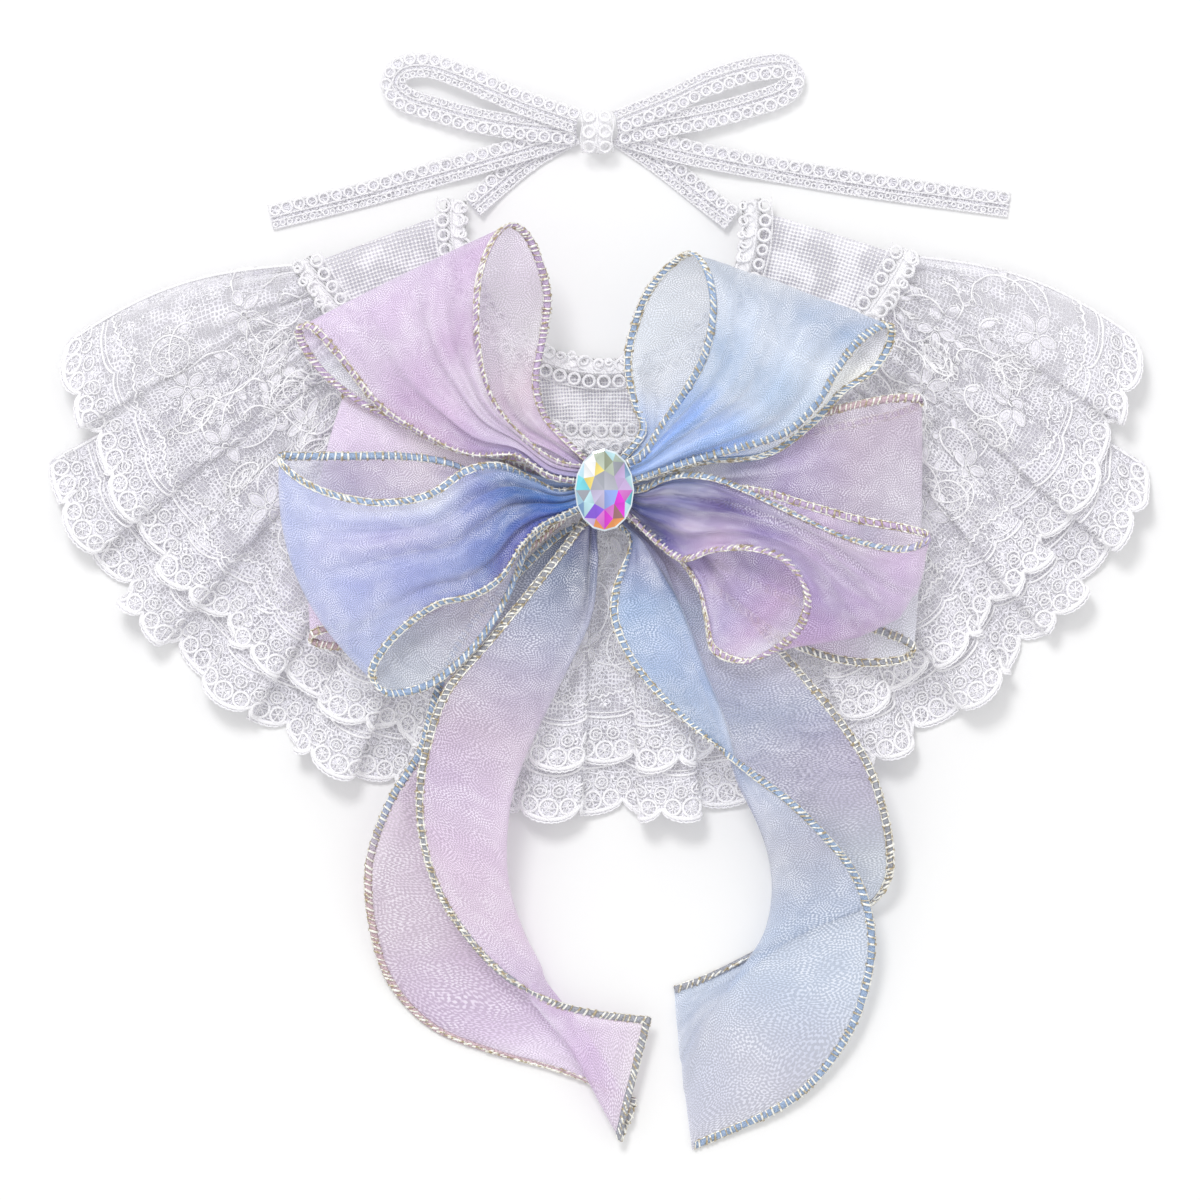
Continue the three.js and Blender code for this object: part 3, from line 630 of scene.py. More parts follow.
def rufflePoint(tier, s, out):
    # from the seam to the free edge: seam point + (fan point - seam point) share, with share = out times the
    # tier's reach; height = folds share^1.3, with the seam's small gathers and ripples on it; and the folds'
    # flanks tucked under by tuck sin(2 phase) + lean (height - mean), square to the radius
    s, out = np.broadcast_arrays(np.asarray(s, float), np.asarray(out, float))
    angle = mix(tier["from"], tier["to"], s)
    at, half, tall = np.array(fan["folds"]).T
    near = np.abs(angle[..., None] - at) / half
    high = np.sum(np.where(near < 1, tall * (0.5 + 0.5 * np.cos(np.pi * near)), 0), -1)
    dip = fan["bottomDip"] * np.exp(-(((angle - 90) / fan["dipHalf"]) ** 2))
    sides = np.minimum(1, np.abs(angle - 90) / fan["sideHalf"]) ** fan["sidePower"]
    reach = fan["reach"] - dip + fan["sideReach"] * sides + fan["foldReach"] * (high / fan["foldHigh"] - 0.5)
    upper = tiers["upperRuffle"]
    seamShare = (angle - upper["from"]) / (upper["to"] - upper["from"])
    inner = around(fan["seam"], fan["seamRadius"], mix(fan["seamFrom"], fan["seamTo"], seamShare))
    outer = around(fan["centre"], reach, angle)
    share = out * mix(tier["ends"], tier["endsAtSides"], sides)
    place = inner + (outer - inner) * share[..., None]
    across = unit(np.cross(outer - inner, level))
    phase = fullTurn * np.interp(angle, at, np.arange(len(at)), left=-0.5, right=len(at) - 0.5)
    held = ramp(s, 0, fan["heldEnd"]) * ramp(1 - s, 0, fan["heldEnd"]) * ramp(out, 0.1, 1.0)
    tuck = np.interp(angle, at, foldTuck) * fan["tuck"] * np.sin(2 * phase)
    lean = np.interp(angle, at, foldLean) * fan["lean"] * (high - fan["foldMean"])
    turns = angle * fan["gathers"]
    gather = wave(turns) + 0.5 * wave(1.37 * turns + 0.2) + 0.3 * wave(1.9 * turns)
    fine = (fan["gatherDeep"] * np.exp(-out / fan["gatherFade"]) + fan["gatherLeft"]) * gather
    ripple = fan["rippleDeep"] * wave(s * fan["ripples"] + 0.6 * out + tier["phase"]) * out
    end = fan["bulgeEnd"]
    atEnds = ramp(end - s, 0, end) - ramp(s - 1 + end, 0, end)
    edgeBulge = tier["bulge"] * np.sin(np.pi * np.clip(out, 0, 1)) * atEnds
    place = place + across * (held * (tuck + lean) - edgeBulge)[..., None]
    base = mix(fan["seamHigh"], fan["edgeHigh"], np.minimum(1, share))
    place[..., 2] = base + high * share ** fan["foldPower"] + tier["lift"] + fine + ripple
    place[..., 2] = np.maximum(place[..., 2], fan["lowest"])
    return place


def scallopDepth(u, pitch):
    # round lobes side by side: deep (sqrt(1 - (2f - 1)^2))^1.2 with f the place in the lobe
    f = (u / pitch) % 1
    return fan["scallopDeep"] * np.sqrt(np.maximum(0, 1 - (2 * f - 1) ** 2)) ** fan["scallopPower"]


def ruffleSheet(tier):
    # the sheet with even steps of cloth along the free edge, and a scalloped last row
    s = np.linspace(0, 1, 6000)
    walked = lengthsAlong(rufflePoint(tier, s, 1.0))
    whole = walked[-1]
    lobes = round(whole / fan["scallop"])
    u = np.linspace(0, whole, lobes * fan["lobeSteps"] + 1)
    sAt = np.interp(u, walked, s)
    full = np.linalg.norm(rufflePoint(tier, sAt, 1.0) - rufflePoint(tier, sAt, 0.0), axis=-1)
    deep = full - fan["inset"]
    lobe = scallopDepth(u, whole / lobes)
    out = np.linspace(0, 1, fan["deepSteps"]) * ((deep + lobe) / full)[:, None]
    points = rufflePoint(tier, sAt[:, None], out)
    uv = np.stack([np.broadcast_to(u[:, None], out.shape), deep[:, None] - out * full[:, None]], -1)
    return {"points": points, "normals": gridNormals(points), "u": u, "deep": deep, "lobe": lobe,
            "whole": whole, "lobes": lobes, "pitch": whole / lobes, "uv": uv}


def draped(sheet, u, v, lift=0.0):
    # a point of the flat cloth, u along the edge and v in from it, on the gathered sheet
    rows, columns = sheet["points"].shape[:2]
    i = np.clip(np.interp(u, sheet["u"], np.arange(rows)), 0, rows - 1.001)
    deep = np.interp(u, sheet["u"], sheet["deep"])
    lobe = np.interp(u, sheet["u"], sheet["lobe"])
    j = np.clip((deep - v) / (deep + lobe), 0, 1) * (columns - 1.001)
    a, b = i.astype(int), j.astype(int)
    fi, fj = (i - a)[..., None], (j - b)[..., None]
    found = []
    for grid in (sheet["points"], sheet["normals"]):
        low = mix(grid[a, b], grid[a + 1, b], fi)
        high = mix(grid[a, b + 1], grid[a + 1, b + 1], fi)
        found.append(mix(low, high, fj))
    normal = unit(found[1])
    return found[0] + normal * np.asarray(lift)[..., None], normal


# What every cord of the lace shares: half the length that gathering is measured over and the most it
# squeezes, and the thread under which a ring has three sides instead of four
laceCut = {"measure": 1.5, "tightest": 0.35, "fineThread": 0.31}


def stretch(sheet, u, v):
    # how much gathering squeezes the cloth along u at a place
    reach = laceCut["measure"]
    a, b = draped(sheet, u - reach, v)[0], draped(sheet, u + reach, v)[0]
    return np.clip(np.linalg.norm(b - a, axis=-1) / (2 * reach), laceCut["tightest"], 1.0)


def turned(x, y, turn):
    # a step turned by an angle: (x cos - y sin, x sin + y cos)
    return x * np.cos(turn) - y * np.sin(turn), x * np.sin(turn) + y * np.cos(turn)


def leafWidth(q, point):
    # sin q drawn to a point at both ends by the power point
    return np.sign(np.sin(q)) * np.abs(np.sin(q)) ** point


def laceRings(sheet, u, v, across, along=None, turn=0.0, count=14, thread=0.3, lift=0.3, point=1.0):
    # closed ovals of thread lying on the sheet: centre + turned (across cos q, along leafWidth q)
    u, v = np.atleast_1d(u).astype(float), np.atleast_1d(v).astype(float)
    along = across if along is None else along
    across, along, turn = (np.broadcast_to(x, u.shape)[:, None] for x in (across, along, turn))
    q = np.arange(count) * fullTurn / count
    du, dv = turned(across * np.cos(q), along * leafWidth(q, point), turn)
    squeeze = stretch(sheet, u, v)[:, None]
    points, normals = draped(sheet, u[:, None] + du / squeeze, v[:, None] + dv, lift)
    return tubes(points, normals, thread, 3 if thread < laceCut["fineThread"] else 4, closed=True)


def lacePads(sheet, u, v, across, along, turn=0.0, count=12, dome=0.14, lift=0.12, point=1.0):
    # filled ovals of close stitches: rings of the oval drawn in to its middle, raised by dome (1 - r^2)
    u, v = np.atleast_1d(u).astype(float), np.atleast_1d(v).astype(float)
    across, along, turn = (np.broadcast_to(x, u.shape)[:, None, None] for x in (across, along, turn))
    q = np.arange(count) * fullTurn / count
    r = np.array([0.02, 0.7, 1.0])[:, None]
    du, dv = turned(across * r * np.cos(q), along * r * leafWidth(q, point), turn)
    squeeze = stretch(sheet, u, v)[:, None, None]
    points = draped(sheet, u[:, None, None] + du / squeeze, v[:, None, None] + dv,
                    lift + dome * (1 - r ** 2))[0]
    return {"points": points.reshape(-1, 3), "faces": gridFaces(len(u), 3, count, False, True)[:, ::-1],
            "slot": 1}


def laceLine(sheet, u, v, thread, lift=0.3, sides=4, flat=1.0):
    # a cord along places on the sheet
    points, normals = draped(sheet, u, v, lift)
    return tubes(points, normals, thread, sides, flat=flat)


def spokes(sheet, u, v, across, along, angle, ends, thread, lift=0.2):
    # straight threads through or round a middle: centre + ends (across cos angle, along sin angle)
    su = u[:, None, None] + across * np.cos(angle)[..., None] * np.array(ends)
    sv = v[:, None, None] + along * np.sin(angle)[..., None] * np.array(ends)
    return laceLine(sheet, su.reshape(-1, 2), sv.reshape(-1, 2), thread, lift)


# Sizes are shares of the flower's radius, threads are in mm
flower = {"petals": 5, "out": 0.62, "pad": (0.42, 0.22), "rim": (0.46, 0.27), "vein": (0.24, 0.09),
          "eyelet": 0.15, "point": 1.3, "rimThread": 0.17, "veinThread": 0.1, "eyeletThread": 0.22}


def flowers(sheet, u, v, size, turn):
    # five pointed petals, each a filled leaf with a corded rim and a vein, round an eyelet
    parts = []
    squeeze = stretch(sheet, u, v)
    pad, rim, vein = ([size * share for share in flower[key]] for key in ("pad", "rim", "vein"))
    for petal in range(flower["petals"]):
        angle = turn + petal * fullTurn / flower["petals"]
        out = flower["out"] * size
        pu, pv = u + out * np.cos(angle) / squeeze, v + out * np.sin(angle)
        parts.append(lacePads(sheet, pu, pv, *pad, angle, 10, point=flower["point"]))
        parts.append(laceRings(sheet, pu, pv, *rim, angle, 10, flower["rimThread"], 0.35, flower["point"]))
        parts.append(laceRings(sheet, pu, pv, *vein, angle, 6, flower["veinThread"], 0.36))
    parts.append(laceRings(sheet, u, v, size * flower["eyelet"], count=6, thread=flower["eyeletThread"],
                           lift=0.5))
    return parts


vine = {"steps": 19, "leaves": (4, 7, 10, 13, 16), "lean": 0.95, "leaf": (0.055, 0.085), "out": 1.25,
        "point": 1.3, "stemThread": 0.24, "leafThread": 0.15, "tip": 0.8, "tipThread": 0.2}


def vines(sheet, u, v, heading, bend, length, draw):
    # stems that curl tighter as they go, heading + bend s^1.5 at share s of their length, with pointed
    # leaves on both sides, every other one filled, and a small ring at the tip
    s = np.linspace(0, 1, vine["steps"])
    angle = heading[:, None] + bend[:, None] * s ** 1.5
    step = length[:, None] / len(s)
    squeeze = stretch(sheet, u, v)
    su = u[:, None] + np.cumsum(np.cos(angle) * step, 1) / squeeze[:, None]
    sv = v[:, None] + np.cumsum(np.sin(angle) * step, 1)
    parts = [laceLine(sheet, su, sv, vine["stemThread"], 0.32)]
    for k, at in enumerate(vine["leaves"]):
        filled = k % 2 == 1
        lean = angle[:, at] + (1 if filled else -1) * vine["lean"]
        size = length * draw.uniform(*vine["leaf"], len(u))
        lu = su[:, at] + np.cos(lean) * size * vine["out"] / squeeze
        lv = sv[:, at] + np.sin(lean) * size * vine["out"]
        if filled:
            parts.append(lacePads(sheet, lu, lv, size, size * 0.4, lean, 8, point=vine["point"]))
        parts.append(laceRings(sheet, lu, lv, size * 1.1, size * 0.48, lean, 8, vine["leafThread"], 0.3,
                               vine["point"]))
    parts.append(laceRings(sheet, su[:, -1], sv[:, -1], vine["tip"], count=6, thread=vine["tipThread"]))
    return parts


# Rings: share of the size across and along, corners, thread and lift. Bead rows: share of the size, and each
# bead's radius, thread and number
medallion = {
    "rings": ((1.0, 1.2, 20, 0.28, 0.34), (0.62, 0.8, 12, 0.2, 0.3), (0.22, 0.28, 8, 0.2, 0.3)),
    "beads": ((0.81, 0.5, 0.13, 14), (1.2, 0.75, 0.17, 16)), "beadsLong": 1.2,
    "spokes": 10, "spokeEnds": (0.26, 0.62), "spokesLong": 1.27, "spokeThread": 0.12,
}


def medallions(sheet, u, v, size):
    # an oval of two cords with a ring of beads between, a webbed middle and small loops all round
    parts = []
    for across, along, count, thread, lift in medallion["rings"]:
        parts.append(laceRings(sheet, u, v, size * across, size * along, count=count, thread=thread,
                               lift=lift))
    squeeze = stretch(sheet, u, v)[:, None]
    for share, radius, thread, beads in medallion["beads"]:
        q = (np.arange(beads) + 0.5) * fullTurn / beads
        bu = u[:, None] + size[:, None] * share * np.cos(q) / squeeze
        bv = v[:, None] + size[:, None] * medallion["beadsLong"] * share * np.sin(q)
        parts.append(laceRings(sheet, bu.ravel(), bv.ravel(), radius, count=5, thread=thread))
    angle = np.arange(medallion["spokes"]) * fullTurn / medallion["spokes"]
    wide = size[:, None, None]
    parts.append(spokes(sheet, u, v, wide, wide * medallion["spokesLong"], angle, medallion["spokeEnds"],
                        medallion["spokeThread"]))
    return parts


# The border, in mm in from the free edge: eyelets as place in the lobe and radius, then lines and their
# threads
border = {
    "margin": 0.6, "step": 0.55, "follow": 0.97, "hem": 0.75, "hemThread": 0.5,
    "toothStep": 0.42, "toothPitch": 1.45, "toothDeep": 0.252, "toothThread": 0.2,
    "eyelets": ((0.19, 1.75), (0.5, 2.05), (0.81, 1.75)), "eyeletIn": 1.15, "eyeletThread": 0.38,
    "webThread": 0.17, "second": 1.55, "secondAside": 0.16, "secondSize": (1.45, 1.3), "secondThread": 0.3,
    "bead": 0.6, "beadThread": 0.2, "cleftIn": 2.7, "cleftSize": (1.25, 1.35), "cleftThread": 0.28,
    "rim": 9.4, "rimDeep": 2.2, "rimThread": 0.34, "rimApart": 1.0, "secondRimThread": 0.2, "swag": 13.8,
    "swagDeep": (2.4, 4.6), "swagTwist": 1.9, "swagThread": 0.3, "swagBeadStep": 1.95, "swagBead": 0.7,
    "swagBeadIn": 1.4, "swagBeadThread": 0.15, "sideIn": 0.4, "sideThread": 0.35,
}


def borderCords(sheet, draw):
    # the corded hem with its teeth, three webbed eyelets in every lobe with smaller ones over them, two rims
    # with shallower lobes and a swag of beads over every two lobes
    pitch, lobes, whole = sheet["pitch"], sheet["lobes"], sheet["whole"]
    u = np.arange(border["margin"], whole - border["margin"], border["step"])
    hem = border["hem"] - scallopDepth(u, pitch) * border["follow"]
    parts = [laceLine(sheet, u, hem, border["hemThread"], 0.2, 6, 0.8)]
    step = np.arange(border["margin"], whole - border["margin"], border["toothStep"])
    teeth = border["toothDeep"] * (np.abs((step / border["toothPitch"]) % 1 - 0.5) * 4 - 1)
    parts.append(laceLine(sheet, step, 0.02 - scallopDepth(step, pitch) - teeth, border["toothThread"], 0.1))
    lobe = np.arange(lobes) * pitch
    for f, r in border["eyelets"]:
        cu = lobe + f * pitch
        cv = border["eyeletIn"] - scallopDepth(cu, pitch) * border["follow"] + r
        parts.append(laceRings(sheet, cu, cv, r, count=12, thread=border["eyeletThread"]))
        angle = np.arange(3) * np.pi / 3 + draw.uniform(0, 1, (lobes, 1))
        parts.append(spokes(sheet, cu, cv, r * 0.95, r * 0.95, angle, (-1, 1), border["webThread"]))
        aside, over = cu + border["secondAside"] * pitch, cv + r + border["second"]
        parts.append(laceRings(sheet, aside, over, *border["secondSize"], count=10,
                               thread=border["secondThread"]))
        parts.append(laceRings(sheet, aside, over, border["bead"], count=8, thread=border["beadThread"]))
    clefts = np.full(lobes - 1, border["cleftIn"])
    parts.append(laceRings(sheet, lobe[1:], clefts, *border["cleftSize"], count=12,
                           thread=border["cleftThread"]))
    f = (u / pitch) % 1
    rim = border["rim"] - border["rimDeep"] * np.sqrt(np.maximum(0, 1 - (2 * f - 1) ** 2))
    parts.append(laceLine(sheet, u, rim, border["rimThread"], 0.25))
    parts.append(laceLine(sheet, u, rim + border["rimApart"], border["secondRimThread"], 0.2))
    arcs = u / (2 * pitch)
    which = np.floor(arcs).astype(int)
    deepest = draw.uniform(*border["swagDeep"], which.max() + 1)[which]
    bow = border["swag"] - deepest * np.sin(np.pi * (arcs % 1)) + 0.35 * wave(u / border["swagTwist"])
    parts.append(laceLine(sheet, u, bow, border["swagThread"], 0.3))
    beadAt = np.arange(2 * border["margin"], whole - 1, border["swagBeadStep"])
    beadIn = np.interp(beadAt, u, bow) + border["swagBeadIn"]
    parts.append(laceRings(sheet, beadAt, beadIn, border["swagBead"], count=6,
                           thread=border["swagBeadThread"]))
    return parts


# Rows of flowers and medallions in turn, in mm, and the two vines on each side of a flower. Angles are in
# radians
garden = {
    "aside": 2, "flowerEnd": 6, "medallionEnd": 7, "flower": (4.2, 5.0), "medallion": (3.2, 4.4),
    "highOut": 4.5, "highTurn": (0.5, 1.1), "highBend": (2.2, 4.4), "highLong": (17, 25),
    "lowOut": 4.8, "lowTurn": (-0.2, 0.7), "lowBend": (1.5, 3.5), "lowLong": (10, 15),
}


def gardenCords(sheet, row, v, draw):
    # one row over the swags at v mm in from the edge, every other row half a step aside
    whole, swag = sheet["whole"], 2 * sheet["pitch"]
    aside, parts = garden["aside"], []
    middles = (np.arange(0, whole / swag) + 0.5 * ((row + 1) % 2)) * swag
    middles = middles + draw.uniform(-aside, aside, int(np.ceil(whole / swag)))
    middles = middles[(middles > garden["flowerEnd"]) & (middles < whole - garden["flowerEnd"])]
    n = len(middles)
    gaps = middles + swag / 2 + draw.uniform(-aside, aside, n)
    gaps = gaps[gaps < whole - garden["medallionEnd"]]
    high = v + draw.uniform(-aside, aside, n)
    size = draw.uniform(*garden["flower"], n)
    parts += flowers(sheet, middles, high, size, draw.uniform(0, fullTurn, n))
    high = v - 1 + draw.uniform(-1.5, 1.5, len(gaps))
    parts += medallions(sheet, gaps, high, draw.uniform(*garden["medallion"], len(gaps)))
    for hand in (-1, 1):
        heading = np.pi / 2 - hand * draw.uniform(*garden["highTurn"], n)
        high = v + draw.uniform(-1, 3, n)
        bend = hand * draw.uniform(*garden["highBend"], n)
        long = draw.uniform(*garden["highLong"], n)
        parts += vines(sheet, middles + hand * garden["highOut"], high, heading, bend, long, draw)
        heading = -hand * draw.uniform(*garden["lowTurn"], n) + (0 if hand > 0 else np.pi)
        high = v - draw.uniform(1, 4, n)
        bend = hand * draw.uniform(*garden["lowBend"], n)
        long = draw.uniform(*garden["lowLong"], n)
        parts += vines(sheet, middles + hand * garden["lowOut"], high, heading, bend, long, draw)
    return parts


def laceCords(tier, sheet):
    # every cord on one tier: border, rows of flowers and a cord down each side
    draw = np.random.default_rng(3 + sheet["lobes"])
    parts = borderCords(sheet, draw)
    for row, v in enumerate(tier["flowerRows"]):
        parts += gardenCords(sheet, row, v, draw)
    for side, inward in ((0, border["sideIn"]), (-1, -border["sideIn"])):
        v = np.linspace(0.5, sheet["deep"][side] - 0.5, 120)
        u = np.full(len(v), sheet["u"][side] + inward)
        parts.append(laceLine(sheet, u, v, border["sideThread"], 0.15))
    return parts


def makeRuffles():
    # each tier: its net as one sheet and its cords as one piece on it
    for name, tier in tiers.items():
        sheet = ruffleSheet(tier)
        net = gridPart(sheet["points"], sheet["uv"] / uvSize)
        cloth = makePiece(name, [net], ["lace"], tier["node"])
        cords = makePiece(name + "Cords", laceCords(tier, sheet), ["laceCord", "laceFill"])
        print(name, "cords", len(cords.data.polygons) * 2, "triangles")


makeRuffles()

# The yoke: a crescent of open weave, its grain bent a little round the neck
yokeCut = {"neck": (1.3, 83.6), "neckRadius": 30.9, "neckFrom": -6, "neckTo": 186, "neckHigh": 1.7,
           "seamRadius": 73.5, "seamEnd": 0.5, "seamHigh": 4.6, "grainCentre": (1.3, -90.0),
           "grainRadius": 165.0, "slack": ((0.3, 5.3), (0.2, 13)), "steps": (200, 26), "flat": (0.13, 0.051),
           "area": 0.0033}


def makeYoke():
    # neck arc + (seam arc - neck arc) t, slack by small waves
    s, t = (np.linspace(0, 1, count) for count in yokeCut["steps"])
    inner = around(yokeCut["neck"], yokeCut["neckRadius"], mix(yokeCut["neckFrom"], yokeCut["neckTo"], s))
    end = yokeCut["seamEnd"]
    outer = around(fan["seam"], yokeCut["seamRadius"], mix(fan["seamFrom"] + end, fan["seamTo"] - end, s))
    points = mix(inner[:, None], outer[:, None], t[:, None])
    (deep, few), (shallow, many) = yokeCut["slack"]
    waves = deep * wave(few * s[:, None] + 0.4 * t) + shallow * wave(many * s[:, None])
    points[..., 2] = mix(yokeCut["neckHigh"], yokeCut["seamHigh"], t) + np.sin(np.pi * t) * waves
    x, y = (points[..., i] - yokeCut["grainCentre"][i] for i in (0, 1))
    uv = np.stack([np.arctan2(x, y) * yokeCut["grainRadius"], np.hypot(x, y)], -1)
    cloth = makePiece("wovenYoke", [gridPart(points, uv / uvSize)], ["weave"], "yoke")
    print("yoke woven")


makeYoke()

# Ring braid: rows of rings as place across in half widths, radius, pitch, thread, mess and lift, and twisted
# cords as place across, thread, lift and pitch of the twist
braidLook = {
    "corners": 14, "stray": (0.35, 0.3), "tip": 0.5, "uneven": 0.1, "plyStep": 0.42, "plyOut": 0.55,
    "ply": 0.62, "backing": (-0.25, -0.1, 0.62, 0.2), "seed": 9,
    "wide": ((0.52, 1.22, 3.25, 0.36, 0.12, 0.35), (-0.5, 1.2, 2.7, 0.36, 0.75, 0.3),
             (-0.72, 0.8, 2.9, 0.306, 0.9, 0.45), (0.0, 0.3, 0.35, 1.5), (0.97, 0.2, 0.1, 1.5)),
    "narrow": ((0.54, 1.14, 2.7, 0.29, 0.18, 0.12), (0.06, 0.24, 0.15, 1.5), (-0.28, 0.25, 0.1, 2.1),
               (-0.56, 0.5, 1.6, 0.2, 0.5, 0.05), (-0.84, 0.24, 0.1, 1.8), (0.97, 0.12, 0.0, 1.5)),
}

arcBraids = {
    "neckBraid": {"node": "neck_trim", "centre": (1.3, 83.6), "radius": 33.55, "from": 188, "to": -8,
                  "half": 3.6, "high": 3.6},
    "seamBraid": {"node": "seam_braid", "centre": fan["seam"], "radius": 73.9, "from": 25.8, "to": 152.5,
                  "half": 3.7, "high": 6.4},
}


def shifted(path, ups, off, lift=0.0):
    # the path moved sideways: path + off (along x up) + lift up
    return path + sideOf(path, ups) * np.asarray(off)[..., None] + ups * lift


def ringRow(path, ups, off, radius, pitch, thread, draw, mess=0.0, lift=0.0):
    # rings at even steps: centre + radius (cos q along + sin q side), each tipped and moved a little
    line = shifted(path, ups, off, lift)
    walked = lengthsAlong(line)
    count = max(2, int(walked[-1] / pitch))
    at = (np.arange(count) + 0.5) * walked[-1] / count
    middle, along, up = (sampled(data, walked, at) for data in (line, unit(np.gradient(line, axis=0)), ups))
    along = unit(along)
    side = unit(np.cross(along, up))
    up = np.cross(side, along)
    aside, onward = (draw.normal(0, stray, (count, 1)) for stray in braidLook["stray"])
    middle = middle + (side * aside + along * onward) * mess
    tip = draw.normal(0, braidLook["tip"], (count, 1, 2)) * mess
    wide = radius * (1 + draw.normal(0, braidLook["uneven"], (count, 1)) * (0.4 + mess))
    q = np.arange(braidLook["corners"]) * fullTurn / braidLook["corners"] + draw.uniform(0, 1, (count, 1))
    x, y = (wide * np.cos(q))[..., None], (wide * np.sin(q))[..., None]
    high = x * tip[..., :1] + y * tip[..., 1:] + 0.25 * np.abs(tip).sum(-1, keepdims=True) * wide[..., None]
    ring = middle[:, None] + x * along[:, None] + y * side[:, None] + up[:, None] * high
    return tubes(ring, np.broadcast_to(up[:, None], ring.shape), thread, 5, closed=True)


def twistedCord(path, ups, off, thread, lift=0.0, pitch=1.5):
    # two plies round each other: path + 0.55 thread (cos q side + sin q up), q one turn for each pitch walked
    line = shifted(path, ups, off, lift)
    walked = lengthsAlong(line)
    at = np.linspace(0, walked[-1], max(8, int(walked[-1] / braidLook["plyStep"])))
    line, up = sampled(line, walked, at), sampled(ups, walked, at)
    side = sideOf(line, up)
    parts = []
    for start in (0, np.pi):
        q = (fullTurn * at / pitch + start)[:, None]
        off = thread * braidLook["plyOut"] * (np.cos(q) * side + np.sin(q) * up)
        parts.append(tubes(line + off, up, thread * braidLook["ply"]))
    return parts


def braid(kind, path, ups, half, draw, flip=1):
    # rows of rings and cords side by side; flip says on which side the first row lies, 1 to the line's right
    parts = []
    for place, *row in braidLook[kind]:
        off = flip * half * place
        if len(row) == 5:
            radius, pitch, thread, mess, lift = row
            parts.append(ringRow(path, ups, off, radius, pitch, thread, draw, mess, lift))
        else:
            parts += twistedCord(path, ups, off, *row)
    return parts


def makeArcBraids():
    # the braids of the neckline and the seam: clean rings on one side, a cord down the middle and tumbled
    # rings on the other, over a thin backing
    for name, arc in arcBraids.items():
        path = around(arc["centre"], arc["radius"], np.linspace(arc["from"], arc["to"], 400))
        path[:, 2] = arc["high"]
        ups = np.broadcast_to(level, path.shape)
        half = arc["half"]
        parts = braid("wide", path, ups, half, np.random.default_rng(braidLook["seed"]))
        place, lift, wide, flat = braidLook["backing"]
        parts.append(tubes(shifted(path, ups, half * place, lift), ups, half * wide, flat=flat, turn=0))
        makePiece(name, parts, ["braid"], arc["node"])
        print(name, "laid")


makeArcBraids()

# The ties: tapes of narrow braid, as middle lines in mm
tape = {"half": 2.9, "lowest": 0.5, "steps": 160, "crossing": (0.4, 0.56), "backing": 0.8, "under": 0.25,
        "seed": 20}

ties = {  # flip: the side of the row of rings at both ends of the line, 1 to its right
    "strapLeft": {"node": "tie_strap_left", "flip": (1, 1), "line": [
        (-5, 103, 0.5), (-14, 98, 0.5), (-22, 91.6, 0.55), (-27.6, 86.7, 2.4)]},
    "strapRight": {"node": "tie_strap_right", "flip": (-1, -1), "line": [
        (4.4, 102.6, 0.5), (13.5, 96.4, 0.5), (22.6, 89.2, 0.55), (29.5, 83.8, 2.4)]},
    "tailLeft": {"node": "tie_tail_left", "flip": (1, 1), "line": [
        (-4.8, 102.9, 2), (-17.4, 99, 2), (-28, 95.9, 1.8), (-40, 92.5, 0.5), (-51, 89.4, 0.5),
        (-72, 84.2, 0.5)]},
    "tailRight": {"node": "tie_tail_right", "flip": (-1, -1), "line": [
        (4.4, 102.8, 2), (16.6, 99.2, 2), (28, 96.8, 1.8), (42, 94.2, 0.5), (60, 91.2, 0.5),
        (90.4, 87, 0.5)]},
    "loopLeft": {"node": "tie_loop_left", "flip": (1, 1), "line": [
        (-4.6, 105.2, 5), (-17.6, 109.8, 4.6), (-30, 115.2, 4), (-38, 117.6, 3.6), (-43.4, 116.6, 3.2),
        (-45, 113.6, 2.8), (-42.6, 110.6, 2.6), (-36, 108.3, 2.8), (-26, 105.6, 3.2), (-15.6, 104, 3.5),
        (-4.8, 103, 3.7)]},
    "loopRight": {"node": "tie_loop_right", "flip": (1, -1), "line": [
        (4.2, 105.2, 5), (16, 110, 4.6), (26, 114.6, 4), (36, 117.3, 3.6), (41.4, 117.4, 3.2),
        (43.2, 114.7, 2.8), (41, 112, 2.6), (33.6, 109.2, 2.8), (24, 106.6, 3.2), (13, 104.6, 3.5),
        (4.4, 103, 3.7)]},
}


def makeTies():
    # each tape is the narrow braid along its line, over a net backing. The row of rings crosses to the other
    # side near the middle of a tape that is turned over there
    half = tape["half"]
    for order, (name, tie) in enumerate(ties.items()):
        path = smoothLine(tie["line"], np.linspace(0, 1, tape["steps"]), centripetal=True)
        path[:, 2] = np.maximum(path[:, 2], tape["lowest"])
        ups = np.broadcast_to(level, path.shape)
        flip = mix(*tie["flip"], ramp(np.linspace(0, 1, len(path)), *tape["crossing"]))
        parts = braid("narrow", path, ups, half, np.random.default_rng(tape["seed"] + order), flip)
        across = np.linspace(-half, half, 5)
        backing = path[:, None] + sideOf(path, ups)[:, None] * across[:, None] * tape["backing"]
        backing = backing - level * tape["under"]
        walked = lengthsAlong(path)
        uv = np.stack(np.broadcast_arrays(walked[:, None], across), -1) / uvSize
        piece = makePiece(name + "Tape", parts, ["braid"], tie["node"])
        net = makePiece(name + "Backing", [gridPart(backing, uv)], ["lace"])
        print(name, round(walked[-1]), "mm long")


makeTies()

tieKnot = {"centre": (-0.2, 103.0, 0.0), "half": (3.2, 4.5, 2.9), "middle": 3.3, "wrapAt": (-1.75, 1.75),
           "wrapHalf": 4.6, "wrapRound": 5.2, "wrapLow": 3.4, "wrapHigh": 3.2, "cordAt": 1.65,
           "cordThread": 0.22, "ring": (1.25, 2.9, 0.36), "seed": 4}


